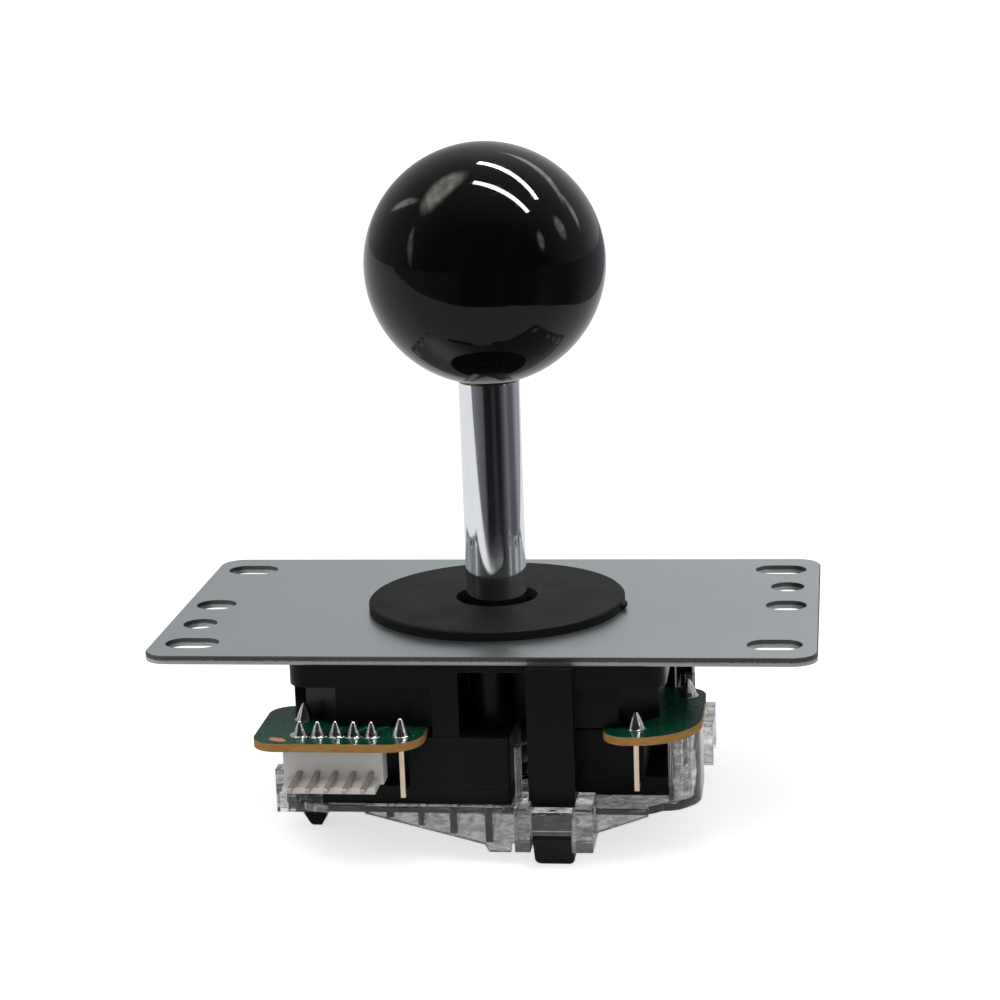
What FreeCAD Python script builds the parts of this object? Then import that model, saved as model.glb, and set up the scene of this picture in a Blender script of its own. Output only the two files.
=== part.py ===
import FreeCAD, Part
import math
import os

# Arcade joystick lever with a ball top, a steel mounting plate and a four-switch mechanism.
# Millimetres, +Z up. The origin is on the lever's axis, at the top face of the mounting plate.
# The mechanism under the plate repeats four times round the axis: front (-Y), right, rear, left.

os.makedirs("parts", exist_ok=True)

SIDES = ("front", "right", "rear", "left")

# Lever
TILT_DEG = 7.5              # tilt each way about X and about Y, stopped by the gate
PIVOT_Z = -6.0              # centre of the pivot ball
PIVOT_R = 6.2
PIVOT_ABOVE = 4.2           # from the ball's centre to its upper flat
PIVOT_BELOW = 4.4           # and to its lower flat
BALL_D = 35.0
BALL_CENTRE_Z = 51.1
BALL_FLAT_R = 5.8           # flat ring under the ball, round the insert
INSERT_R = 4.9
INSERT_L = 15.0
STUD_R = 3.0                # threaded stud at the shaft's top
STUD_L = 12.0
SHAFT_R = 4.5
PIVOT_SHAFT_R = 3.0         # the shaft inside the pivot ball
LOWER_SHAFT_R = 2.5
SHAFT_END_CHAMFER = 0.6
STUD_CHAMFER = 0.5
SHAFT_TIP_CHAMFER = 0.3
RUNNING = 0.05              # radial clearance of what turns on a shaft
FREE = 0.1                  # clearance of a loose or moulded fit
OVER = 1.0                  # how far a cutting shape runs past what it cuts

# Mounting plate
PLATE_L = 95.0
PLATE_W = 53.0
PLATE_T = 1.2
PLATE_CORNER_R = 3.5
PLATE_EDGE = 0.15
PLATE_HOLE_R = 10.0
SLOT_FROM_END = 6.0         # hole centres are set from the plate's ends and sides
SLOT_FROM_SIDE = 6.5
SLOT_L = 7.8
SLOT_W = 4.9
OVAL_FROM_END = 4.8
OVAL_L = 6.0
OVAL_W = 5.0
ROUND_HOLE_FROM_END = 4.8
ROUND_HOLE_Y = 10.2
ROUND_HOLE_R = 2.5

# Dust washer
WASHER_R = 19.0
WASHER_T = 1.5
WASHER_EDGE = 0.25

# Plate screws, hidden by the dust washer
SCREW_RING_R = 14.0
SCREW_R = 1.5
SCREW_HEAD_R = 2.7
SCREW_L = 7.0
SCREW_RECESS_R = 1.3
SCREW_RECESS_DEPTH = 0.7
SCREW_RECESS_HALF = 0.3
SCREW_HOLE_SPARE = 0.5      # depth of the screw's hole past its tip
SCREW_BOSS_SPARE = 1.5

# Moulded body, sized from its square skirt
SKIRT_HALF = 25.3
SKIRT_T = 1.8
SKIRT_CHAMFER = 5.4         # the skirt's corners are cut back behind the end terminals
FLANGE_LIP = 1.3            # the flange past the skirt
FLANGE_T = 3.3
FLANGE_CORNER_R = 3.0
TOWER_R = 9.2
TOWER_BOTTOM_Z = -13.4
FUNNEL_R = 8.2
SCREW_BOSS_R = 3.2
POST_X0 = 7.4
POST_X1 = 13.9
POST_DEPTH = 3.0            # the clip posts stand out from the skirt by this much
TONGUE_INSET = 0.45         # the tongue is narrower than its post
TONGUE_TIP_R = 0.9
HOOK_PROUD = 1.2
HOOK_CATCH_H = 0.7
HOOK_CATCH_SLANT = 0.3
HOOK_SLANT = 2.7
HOOK_TIP_T = 1.2
HOOK_SET_IN = 0.6
HOOK_HEEL_H = 1.5
HOOK_TOP_Z = -24.6
HOOK_BOTTOM_Z = -30.2
RIB_POST_X0 = -6.1
RIB_POST_X1 = -2.3
RIB_T = 1.5
BAY_IN = 17.2               # back of the bay that the peg stands in
BAY_T = 1.2
BAY_ROOF_T = 1.0
PEG_X = 1.5
PEG_Y = -19.5
PEG_TOP_R = 3.3
PEG_END_R = 2.65
PEG_RIB_T = 1.4

# Circuit board
BOARD_TOP_Z = -10.6
BOARD_T = 1.2
BOARD_HOLE_R = 10.5
BOARD_HALF = 15.8
BOARD_CORNER_R = 1.0
EAR_PAST_TERMINAL = 4.1
EAR_X1 = -6.4
EAR_Y_IN = -17.8
EAR_ROOT = 3.0              # the ear overlaps the board's middle by this much
EAR_REACH = 4.5             # the ear's edge past the switch
EAR_CORNER_R = 3.5
EAR_BIG_R = 9.0
CABLE_EAR_WIDER = 1.7       # the ear over the cable header is wider, deeper and reaches further out
CABLE_EAR_SHORTER = 0.6
CABLE_EAR_Y_IN = -16.2
CABLE_EAR_REACH = 6.3
CABLE_EAR_CORNER_R = 5.0
PAD_GAP = 0.05              # between a blade and its hole in the board
PIN_HOLE_GAP = 0.12

# Switches
SWITCH_X0 = -22.3
SWITCH_X1 = 4.7
SWITCH_PROUD = 1.5          # the switches stand out from the skirt by this much
SWITCH_IN = 13.5
SWITCH_BOTTOM_Z = -21.5
SEAM_Z = -18.8              # between the case and its cover
RECESS_X1 = -9.6
RECESS_DEPTH = 3.6
SWITCH_EDGE = 0.4
LOCATING_HOLES = (1.5, -7.0)
LOCATING_HOLE_R = 1.55
LOCATING_HOLE_DEPTH = 2.0
PANEL_MARGIN = 1.6          # rim round the cover's sunk panel
PANEL_DEPTH = 0.3
LEVER_PIVOT_X = -19.5
LEVER_PIVOT_Y = -12.5
LEVER_T = 0.45
LEVER_H = 3.5
LEVER_BARREL_R = 0.9
LEVER_PIN_R = 0.5
LEVER_Z = -17.5             # middle height of the levers and of the actuator's bulge
BUMP_R = 2.0
BUMP_FOOT = 0.3             # the bump's foot behind its centre
EAR_T = 1.5
EAR_HALF = 1.1
EAR_GAP = 0.15
PLUNGER_X = -9.0
PLUNGER_HALF_W = 1.5
PLUNGER_Z0 = -18.7
PLUNGER_Z1 = -16.2
PLUNGER_L = 5.4
PLUNGER_NOSE_R = 1.8
PLUNGER_ROOM = 1.6          # free depth behind the plunger

# Terminals and solder
TERMINAL_W = 0.7
TERMINAL_T = 0.5
TERMINAL_SIDE_X = -10.2
TERMINAL_SIDE_OUT = 2.0     # the blade beside the switch stands off its wall
TERMINAL_END_IN = 0.2       # the blade at its end stands inside the skirt's line, in its cut corner
TERMINAL_END_BACK = 3.0
TERMINAL_FOOT_Z = -19.8
TERMINAL_TIP = 0.8          # blades and pins end this far over the board, in their solder
SOLDER_H = 2.5
SOLDER_R = 1.3
SOLDER_STEPS = ((1.0, 0.0), (0.82, 0.26), (0.5, 0.66), (0.24, 0.93))
PIN_SOLDER_H = 2.1
PIN_SOLDER_R = 0.95

# Cable header, set from the switch's outer wall
HEADER_X0 = -26.7
HEADER_X1 = -12.6
HEADER_GAP = 0.6
HEADER_BLOCK_T = 3.2
HEADER_BOTTOM_Z = -17.3
HEADER_SHELF_T = 0.9
HEADER_SHELF_L = 4.0
HEADER_SHELF_INSET = 0.5
PIN_COUNT = 5
PIN_PITCH = 2.54
PIN_FIRST_X = -24.4
PIN_W = 0.64
PIN_SET_IN = 1.4
PIN_Z = -15.7
PIN_REACH = 7.6
PIN_CHAMFER = 0.15

# Spring, its washer and the actuator
SPRING_WASHER_R = 5.5
SPRING_WASHER_T = 1.0
SPRING_R = 4.6
WIRE_R = 0.45
SPRING_TURNS = 4.0
WIRE_SIDES = 8
ACTUATOR_TOP_Z = -16.0
ACTUATOR_BULGE_R = 7.2
BULGE_ROUND_R = 3.6
BULGE_END_Z = -20.3
SPRING_POCKET_R = 5.3
POCKET_FLOOR_Z = -20.6
ACTUATOR_NECK_R = 4.0
NECK_TOP_Z = -24.0
ACTUATOR_END_Z = -27.0
RING_T = 0.7
RING_GROOVE_R = 1.85
RING_R = 4.0
RING_LOBE_R = 0.7
RING_LOBE_OUT = 0.5
SHAFT_END_Z = -28.6
DRIVER_SLOT_W = 0.9
DRIVER_SLOT_DEPTH = 1.1

# Clear gate
GATE_T = 1.1
GATE_LIP = 2.2              # the base past the skirt
GATE_CORNER_R = 6.0
DISH_IN = 4.8               # the dish's rim inside the skirt
DISH_LEDGE = 0.5
DISH_WALL = 1.2
DISH_ROUND = 0.4
HUB_R = 14.2
HUB_BOTTOM_Z = -27.6
HUB_T = 1.3
DISC_R = 11.5
DISC_TOP_Z = -24.4
DISC_T = 2.6
DISC_HOLE_HALF = 6.9
DISC_HOLE_CORNER_R = 2.0
DISC_POCKET_R = 1.1
DISC_POCKET_AT = 9.2
DISC_POCKET_DEPTH = 1.2
LIP_W = 1.4
LIP_T = 1.2
NUB_HALF = 1.5
NUB_IN = 0.5
NUB_OUT = 0.3
WALL = 1.2
BRACKET_X0 = 5.6
BRACKET_X1 = 16.5
BRACKET_DEPTH = 3.0         # brackets stand out from the clip posts by this much
BRACKET_BOTTOM_Z = -26.8
CHEEK_TOP_Z = -20.3
CHEEK_SET_IN = 0.5
BAR_TOP_Z = -21.2
BAR_GAP = 0.3
UPRIGHT_T = 0.8
UPRIGHT_IN = 1.3
UPRIGHT_TOP_Z = -12.4
WEB_X0 = -16.0
WEB_KNEE_X = 0.9
WEB_FOOT_X = 1.5
WEB_FOOT_X1 = 4.6
WEB_KNEE_Z = -27.0
WEB_FOOT_Z = -28.1
WEB_RIGHT_X = 24.0
WEB_RIGHT_Z = -25.2
GUSSETS = (-13.0, -8.5, -4.0, 1.0)
GUSSET_T = 1.0
GUSSET_L = 7.2
CORNER_PAST = 1.7           # the corner pads and walls, set from the skirt's corner
CORNER_BEND_IN = 3.3
CORNER_X1 = -12.0
CORNER_WALL_X1 = -13.0
CORNER_DEPTH = 0.7
CORNER_KNEE_PAST = 1.2
CORNER_SET_BACK = 0.3
CORNER_R = 5.0
CORNER_KNEE_R = 3.0
CORNER_END_R = 2.0
CABLE_WALL_PAST = 2.0
CABLE_WALL_PROUD = 1.1
CABLE_WALL_L = 3.4

# Levels and radii that follow from the sizes above
PLATE_BOTTOM_Z = -PLATE_T
FLANGE_BOTTOM_Z = PLATE_BOTTOM_Z - FLANGE_T
BOARD_BOTTOM_Z = BOARD_TOP_Z - BOARD_T
GATE_BOTTOM_Z = SWITCH_BOTTOM_Z - GATE_T
BALL_R = BALL_D / 2
BALL_BOTTOM_Z = BALL_CENTRE_Z - math.sqrt(BALL_R**2 - BALL_FLAT_R**2)
PIVOT_TOP_Z = PIVOT_Z + PIVOT_ABOVE
PIVOT_END_Z = PIVOT_Z - PIVOT_BELOW
SOCKET_R = PIVOT_R + RUNNING
SLOT_X = PLATE_L / 2 - SLOT_FROM_END
SLOT_Y = PLATE_W / 2 - SLOT_FROM_SIDE
OVAL_X = PLATE_L / 2 - OVAL_FROM_END
ROUND_HOLE_X = PLATE_L / 2 - ROUND_HOLE_FROM_END
FLANGE_HALF = SKIRT_HALF + FLANGE_LIP
POST_OUT = SKIRT_HALF + POST_DEPTH
HOOK_OUT = POST_OUT + HOOK_PROUD
HOOK_TIP_OUT = HOOK_OUT - HOOK_SLANT
HOOK_IN = SKIRT_HALF - HOOK_SET_IN
SWITCH_OUT = SKIRT_HALF + SWITCH_PROUD
TERMINAL_SIDE_Y = -SWITCH_OUT - TERMINAL_SIDE_OUT
TERMINAL_END_X = -SKIRT_HALF + TERMINAL_END_IN
TERMINAL_END_Y = -SKIRT_HALF + TERMINAL_END_BACK
EAR_X0 = TERMINAL_END_X - EAR_PAST_TERMINAL
EAR_Y_OUT = -SWITCH_OUT - EAR_REACH
CABLE_EAR_Y_OUT = -SWITCH_OUT - CABLE_EAR_REACH
HEADER_BLOCK_Y1 = -SWITCH_OUT - HEADER_GAP
HEADER_BLOCK_Y0 = HEADER_BLOCK_Y1 - HEADER_BLOCK_T
HEADER_SHELF_Y = HEADER_BLOCK_Y0 - HEADER_SHELF_L
PIN_LEG_Y = HEADER_BLOCK_Y0 + PIN_SET_IN
PIN_TIP_Y = HEADER_BLOCK_Y0 - PIN_REACH
TONGUE_X0 = POST_X0 + TONGUE_INSET
TONGUE_X1 = POST_X1 - TONGUE_INSET
GATE_HALF = SKIRT_HALF + GATE_LIP
BRACKET_OUT = POST_OUT + BRACKET_DEPTH
BAR_IN = POST_OUT + FREE
CORNER_WALL_OUT = BRACKET_OUT - CORNER_SET_BACK
DISH_R = SKIRT_HALF - DISH_IN
GUSSET_IN = SWITCH_OUT - GUSSET_L
CORNER_X0 = -SKIRT_HALF - CORNER_PAST
CORNER_BEND_X = -SKIRT_HALF + CORNER_BEND_IN
CORNER_IN = SKIRT_HALF - CORNER_DEPTH
CORNER_KNEE = SKIRT_HALF + CORNER_KNEE_PAST
CABLE_WALL_X0 = -SKIRT_HALF - CABLE_WALL_PAST
CABLE_WALL_OUT = SKIRT_HALF + CABLE_WALL_PROUD
CABLE_WALL_IN = CABLE_WALL_OUT - CABLE_WALL_L
# Both tilts together lean the lever by this much
CORNER_TILT = math.atan(math.sqrt(2) * math.tan(math.radians(TILT_DEG)))


def tilted_reach(radius, drop):
    """How far from the axis a shaft of this radius gets at a distance from the pivot, both tilts together."""
    return radius / math.cos(CORNER_TILT) + drop * math.tan(CORNER_TILT)


WASHER_HOLE_R = tilted_reach(SHAFT_R, WASHER_T - PIVOT_Z) + FREE
FLOOR_HOLE_R = tilted_reach(LOWER_SHAFT_R, PIVOT_Z - TOWER_BOTTOM_Z + SPRING_WASHER_T) + FREE


def vec(x, y, z):
    return FreeCAD.Vector(x, y, z)


def box(x0, x1, y0, y1, z0, z1):
    return Part.makeBox(x1 - x0, y1 - y0, z1 - z0, vec(x0, y0, z0))


def cylinder(x, y, z0, z1, radius):
    return Part.makeCylinder(radius, z1 - z0, vec(x, y, z0))


def cone(x, y, z0, z1, r0, r1):
    return Part.makeCone(r0, r1, z1 - z0, vec(x, y, z0))


def turned(profile):
    """Solid of revolution about Z from a closed list of (radius, z) corners."""
    corners = [vec(r, 0, z) for r, z in profile]
    wire = Part.makePolygon(corners + corners[:1])
    return Part.Face(wire).revolve(vec(0, 0, 0), vec(0, 0, 1), 360)


def outline(corners):
    """Closed wire in the XY plane through (x, y, radius) corners, each rounded by its radius."""
    points = []
    count = len(corners)
    for i, (x, y, r) in enumerate(corners):
        here = vec(x, y, 0)
        before = vec(*corners[i - 1][:2], 0)
        after = vec(*corners[(i + 1) % count][:2], 0)
        to_before = (before - here).normalize()
        to_after = (after - here).normalize()
        half = to_before.getAngle(to_after) / 2
        if r == 0:
            points.append((here, here, here))
            continue
        run = r / math.tan(half)
        inward = (to_before + to_after).normalize()
        middle = here + inward * (r / math.sin(half) - r)
        points.append((here + to_before * run, middle, here + to_after * run))
    edges = []
    for i, (start, middle, end) in enumerate(points):
        if start != end:
            edges.append(Part.Arc(start, middle, end).toShape())
        following = points[(i + 1) % count][0]
        if (following - end).Length > 1e-6:
            edges.append(Part.makeLine(end, following))
    return Part.Wire(edges)


def slab(corners, z0, z1):
    """Flat plate from z0 to z1 with rounded (x, y, radius) corners."""
    face = Part.Face(outline(corners))
    return face.extrude(vec(0, 0, z1 - z0)).translated(vec(0, 0, z0))


def rectangle(x0, x1, y0, y1, r):
    return [(x0, y0, r), (x1, y0, r), (x1, y1, r), (x0, y1, r)]


def slot(x, y, length, width, z0, z1):
    """Through slot along X with round ends."""
    half = (length - width) / 2
    ends = [cylinder(x - half, y, z0, z1, width / 2), cylinder(x + half, y, z0, z1, width / 2)]
    return box(x - half, x + half, y - width / 2, y + width / 2, z0, z1).fuse(ends)


def fused(shapes):
    return shapes[0].multiFuse(shapes[1:]).removeSplitter()


def turned_to(shape, side):
    """The shape of the front side, carried round the axis to another side."""
    copy = shape.copy()
    copy.rotate(vec(0, 0, 0), vec(0, 0, 1), 90 * SIDES.index(side))
    return copy


def all_sides(shape):
    return [turned_to(shape, side) for side in SIDES]


def save(name, shape):
    shape.exportStep("parts/" + name + ".step")


def edges_at(shape, z, length=0):
    """Edges that lie wholly at one height, and are longer than a length."""
    found = []
    for edge in shape.Edges:
        b = edge.BoundBox
        if abs(b.ZMin - z) < 1e-4 and abs(b.ZMax - z) < 1e-4 and edge.Length > length:
            found.append(edge)
    return found


# Ball top: one moulded ball on a knurled brass insert
def ball_top():
    ball = Part.makeSphere(BALL_R, vec(0, 0, BALL_CENTRE_Z))
    below = cylinder(0, 0, BALL_CENTRE_Z - 2 * BALL_R, BALL_BOTTOM_Z, BALL_R)
    bore = cylinder(0, 0, BALL_BOTTOM_Z - OVER, BALL_BOTTOM_Z + INSERT_L, INSERT_R)
    return ball.cut(below).cut(bore)


def ball_insert():
    insert = cylinder(0, 0, BALL_BOTTOM_Z, BALL_BOTTOM_Z + INSERT_L, INSERT_R)
    return insert.cut(cylinder(0, 0, BALL_BOTTOM_Z - OVER, BALL_BOTTOM_Z + STUD_L + OVER, STUD_R))


# Shaft: one turned steel rod, from the stud in the ball to the slotted end below the clip
def shaft():
    top = BALL_BOTTOM_Z
    ring_z = ACTUATOR_END_Z - RUNNING
    profile = [
        (0, top + STUD_L),
        (STUD_R - STUD_CHAMFER, top + STUD_L),
        (STUD_R, top + STUD_L - STUD_CHAMFER),
        (STUD_R, top),
        (SHAFT_R - SHAFT_END_CHAMFER, top),
        (SHAFT_R, top - SHAFT_END_CHAMFER),
        (SHAFT_R, PIVOT_TOP_Z),
        (PIVOT_SHAFT_R, PIVOT_TOP_Z),
        (PIVOT_SHAFT_R, PIVOT_END_Z),
        (LOWER_SHAFT_R, PIVOT_END_Z),
        (LOWER_SHAFT_R, ring_z),
        (RING_GROOVE_R, ring_z),
        (RING_GROOVE_R, ring_z - RING_T),
        (LOWER_SHAFT_R, ring_z - RING_T),
        (LOWER_SHAFT_R, SHAFT_END_Z + SHAFT_TIP_CHAMFER),
        (LOWER_SHAFT_R - SHAFT_TIP_CHAMFER, SHAFT_END_Z),
        (0, SHAFT_END_Z),
    ]
    slot_half = DRIVER_SLOT_W / 2
    slot_top = SHAFT_END_Z + DRIVER_SLOT_DEPTH
    driver_slot = box(-slot_half, slot_half, -SHAFT_R, SHAFT_R, SHAFT_END_Z - OVER, slot_top)
    return turned(profile).cut(driver_slot)


def e_ring():
    top = ACTUATOR_END_Z - RUNNING
    ring = cylinder(0, 0, top - RING_T, top, RING_R).cut(cylinder(0, 0, top - RING_T, top, RING_GROOVE_R))
    mouth = box(0, RING_R + OVER, -RING_GROOVE_R, RING_GROOVE_R, top - RING_T, top)
    reliefs = []
    for angle in (110, 250):
        x = (RING_GROOVE_R + RING_LOBE_OUT) * math.cos(math.radians(angle))
        y = (RING_GROOVE_R + RING_LOBE_OUT) * math.sin(math.radians(angle))
        reliefs.append(cylinder(x, y, top - RING_T, top, RING_LOBE_R))
    return ring.cut(mouth).cut(reliefs[0]).cut(reliefs[1])


# Mounting plate: stamped steel, slotted for several panels, countersunk for its own four screws
def screw_places():
    return [
        (SCREW_RING_R * math.cos(math.radians(a)), SCREW_RING_R * math.sin(math.radians(a)))
        for a in (45, 135, 225, 315)
    ]


def mounting_plate():
    half_l = PLATE_L / 2
    half_w = PLATE_W / 2
    corners = rectangle(-half_l, half_l, -half_w, half_w, PLATE_CORNER_R)
    plate = slab(corners, PLATE_BOTTOM_Z, 0)
    plate = plate.makeChamfer(PLATE_EDGE, edges_at(plate, 0))
    z0, z1 = PLATE_BOTTOM_Z - OVER, OVER
    holes = [cylinder(0, 0, z0, z1, PLATE_HOLE_R)]
    for x in (-SLOT_X, SLOT_X):
        for y in (-SLOT_Y, SLOT_Y):
            holes.append(slot(x, y, SLOT_L, SLOT_W, z0, z1))
    for side in (-1, 1):
        holes.append(slot(side * OVAL_X, 0, OVAL_L, OVAL_W, z0, z1))
        holes.append(cylinder(side * ROUND_HOLE_X, side * ROUND_HOLE_Y, z0, z1, ROUND_HOLE_R))
    for x, y in screw_places():
        holes.append(cylinder(x, y, z0, z1, SCREW_R + FREE))
        holes.append(cone(x, y, PLATE_BOTTOM_Z, 0, SCREW_R + FREE, SCREW_HEAD_R + FREE))
    for hole in holes:
        plate = plate.cut(hole)
    return plate


def plate_screws():
    screws = []
    for x, y in screw_places():
        head = cone(x, y, PLATE_BOTTOM_Z, 0, SCREW_R, SCREW_HEAD_R)
        shank = cylinder(x, y, -SCREW_L, PLATE_BOTTOM_Z, SCREW_R)
        long, short = SCREW_RECESS_R, SCREW_RECESS_HALF
        recess = fused([
            box(x - long, x + long, y - short, y + short, -SCREW_RECESS_DEPTH, OVER),
            box(x - short, x + short, y - long, y + long, -SCREW_RECESS_DEPTH, OVER),
        ])
        screws.append(head.fuse(shank).removeSplitter().cut(recess))
    return Part.makeCompound(screws)


def dust_washer():
    profile = [
        (WASHER_HOLE_R, 0),
        (WASHER_R, 0),
        (WASHER_R, WASHER_T - WASHER_EDGE),
        (WASHER_R - WASHER_EDGE, WASHER_T),
        (WASHER_HOLE_R, WASHER_T),
    ]
    return turned(profile)


# Body: one black moulding with the pivot's cup, the skirt over the board and four clip posts
def clip_post():
    post = box(POST_X0, POST_X1, -POST_OUT, -SKIRT_HALF, SWITCH_BOTTOM_Z, PLATE_BOTTOM_Z)
    hook_profile = [
        (-SKIRT_HALF, SWITCH_BOTTOM_Z),
        (-POST_OUT, SWITCH_BOTTOM_Z),
        (-POST_OUT, HOOK_TOP_Z),
        (-HOOK_OUT, HOOK_TOP_Z - HOOK_CATCH_SLANT),
        (-HOOK_OUT, HOOK_TOP_Z - HOOK_CATCH_SLANT - HOOK_CATCH_H),
        (-HOOK_TIP_OUT, HOOK_BOTTOM_Z),
        (-HOOK_TIP_OUT + HOOK_TIP_T, HOOK_BOTTOM_Z),
        (-HOOK_IN, HOOK_BOTTOM_Z + HOOK_HEEL_H),
        (-HOOK_IN, SWITCH_BOTTOM_Z - HOOK_SET_IN),
    ]
    corners = [vec(TONGUE_X0, y, z) for y, z in hook_profile]
    hook = Part.Face(Part.makePolygon(corners + corners[:1])).extrude(vec(TONGUE_X1 - TONGUE_X0, 0, 0))
    tip = [
        edge for edge in hook.Edges
        if edge.BoundBox.ZMax < HOOK_BOTTOM_Z + OVER and edge.BoundBox.XLength < 1e-4
        and edge.BoundBox.ZLength < 1e-4
    ]
    return post.fuse(hook.makeFillet(TONGUE_TIP_R, tip))


def skirt():
    """The square wall under the flange, with its corners cut back."""
    top = FLANGE_BOTTOM_Z
    inset = SKIRT_T * (2 - math.sqrt(2))
    walls = []
    for half, cut in ((SKIRT_HALF, SKIRT_CHAMFER), (SKIRT_HALF - SKIRT_T, SKIRT_CHAMFER - inset)):
        near = half - cut
        corners = [
            (-near, -half, 0), (near, -half, 0), (half, -near, 0), (half, near, 0),
            (near, half, 0), (-near, half, 0), (-half, near, 0), (-half, -near, 0),
        ]
        walls.append(slab(corners, BOARD_TOP_Z, top))
    wall = walls[0].cut(walls[1])
    mouth = box(RIB_POST_X0 + OVER, POST_X0 + OVER, -SKIRT_HALF - OVER, -BAY_IN, BOARD_TOP_Z - OVER, top)
    for hole in all_sides(mouth):
        wall = wall.cut(hole)
    return wall


def body_side():
    """What one side of the body carries under its flange."""
    inner = -SKIRT_HALF + SKIRT_T
    top = FLANGE_BOTTOM_Z
    middle = (RIB_POST_X0 + RIB_POST_X1) / 2
    bay_left = RIB_POST_X1 - BAY_T
    bay_right = POST_X0 + BAY_T
    return [
        box(RIB_POST_X0, RIB_POST_X1, -FLANGE_HALF, inner, BOARD_BOTTOM_Z, PLATE_BOTTOM_Z),
        box(middle - RIB_T / 2, middle + RIB_T / 2, inner, -TOWER_R + OVER, BOARD_TOP_Z, top),
        box(bay_left, RIB_POST_X1, inner, -BAY_IN, BOARD_BOTTOM_Z, top),
        box(POST_X0, bay_right, inner, -BAY_IN, BOARD_BOTTOM_Z, top),
        box(bay_left, bay_right, -BAY_IN, -BAY_IN + BAY_T, BOARD_BOTTOM_Z, top),
        clip_post(),
    ]


def peg():
    """The round peg in the bay, tied to the bay's back by a rib."""
    half = PEG_RIB_T / 2
    rib = box(PEG_X - half, PEG_X + half, PEG_Y, -BAY_IN, BOARD_TOP_Z, PLATE_BOTTOM_Z)
    return cone(PEG_X, PEG_Y, BOARD_BOTTOM_Z, PLATE_BOTTOM_Z, PEG_END_R, PEG_TOP_R).fuse(rib)


def body_housing():
    flange = slab(
        rectangle(-FLANGE_HALF, FLANGE_HALF, -FLANGE_HALF, FLANGE_HALF, FLANGE_CORNER_R),
        FLANGE_BOTTOM_Z,
        PLATE_BOTTOM_Z,
    )
    shapes = [flange, skirt(), cylinder(0, 0, TOWER_BOTTOM_Z, FLANGE_BOTTOM_Z, TOWER_R)]
    for piece in body_side():
        shapes += all_sides(piece)
    for x, y in screw_places():
        shapes.append(cylinder(x, y, -SCREW_L - SCREW_BOSS_SPARE, FLANGE_BOTTOM_Z, SCREW_BOSS_R))
    body = fused(shapes)
    bay_top = PLATE_BOTTOM_Z - BAY_ROOF_T
    notch = box(RIB_POST_X1, POST_X0, -FLANGE_HALF - OVER, -BAY_IN, FLANGE_BOTTOM_Z - OVER, bay_top)
    for hole in all_sides(notch):
        body = body.cut(hole)
    body = fused([body] + all_sides(peg()))
    hollows = [
        Part.makeSphere(SOCKET_R, vec(0, 0, PIVOT_Z)),
        cylinder(0, 0, PIVOT_Z, PLATE_BOTTOM_Z + OVER, SOCKET_R),
        cone(0, 0, FLANGE_BOTTOM_Z, PLATE_BOTTOM_Z, SOCKET_R, FUNNEL_R),
        cylinder(0, 0, TOWER_BOTTOM_Z - OVER, PIVOT_Z, FLOOR_HOLE_R),
    ]
    for x, y in screw_places():
        hollows.append(cylinder(x, y, -SCREW_L - SCREW_HOLE_SPARE, PLATE_BOTTOM_Z + OVER, SCREW_R))
    for hollow in hollows:
        body = body.cut(hollow)
    return body


# Pivot ball: a bored moulding that rocks in the body's cup and carries the shaft's shoulder
def pivot_ball():
    ball = Part.makeSphere(PIVOT_R, vec(0, 0, PIVOT_Z))
    band = cylinder(0, 0, PIVOT_END_Z, PIVOT_TOP_Z, PIVOT_R + OVER)
    bore = cylinder(0, 0, PIVOT_END_Z - OVER, PIVOT_TOP_Z + OVER, PIVOT_SHAFT_R + RUNNING)
    return ball.common(band).cut(bore)


# Return spring between a flat washer under the cup and the actuator's pocket
def spring_washer():
    z1 = TOWER_BOTTOM_Z
    z0 = z1 - SPRING_WASHER_T
    return cylinder(0, 0, z0, z1, SPRING_WASHER_R).cut(cylinder(0, 0, z0, z1, FLOOR_HOLE_R))


def return_spring():
    low = POCKET_FLOOR_Z + WIRE_R
    high = TOWER_BOTTOM_Z - SPRING_WASHER_T - WIRE_R
    height = high - low
    path = Part.Wire(Part.makeHelix(height / SPRING_TURNS, height, SPRING_R).Edges)
    path.translate(vec(0, 0, low))
    corners = []
    for i in range(WIRE_SIDES):
        angle = 2 * math.pi * (i + 0.5) / WIRE_SIDES
        corners.append(vec(SPRING_R + WIRE_R * math.cos(angle), 0, low + WIRE_R * math.sin(angle)))
    section = Part.makePolygon(corners + corners[:1])
    return path.makePipeShell([section], True, True)


def actuator():
    centre_r = ACTUATOR_BULGE_R - BULGE_ROUND_R

    def bulge(z):
        return centre_r + math.sqrt(BULGE_ROUND_R**2 - (z - LEVER_Z) ** 2)

    top = vec(bulge(ACTUATOR_TOP_Z), 0, ACTUATOR_TOP_Z)
    widest = vec(ACTUATOR_BULGE_R, 0, LEVER_Z)
    below = vec(bulge(BULGE_END_Z), 0, BULGE_END_Z)
    bore_r = LOWER_SHAFT_R + RUNNING
    corners = [
        below,
        vec(ACTUATOR_NECK_R, 0, NECK_TOP_Z),
        vec(ACTUATOR_NECK_R, 0, ACTUATOR_END_Z),
        vec(bore_r, 0, ACTUATOR_END_Z),
        vec(bore_r, 0, POCKET_FLOOR_Z),
        vec(SPRING_POCKET_R, 0, POCKET_FLOOR_Z),
        vec(SPRING_POCKET_R, 0, ACTUATOR_TOP_Z),
        top,
    ]
    wire = Part.Wire([Part.Arc(top, widest, below).toShape()] + Part.makePolygon(corners).Edges)
    return Part.Face(wire).revolve(vec(0, 0, 0), vec(0, 0, 1), 360)


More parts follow.
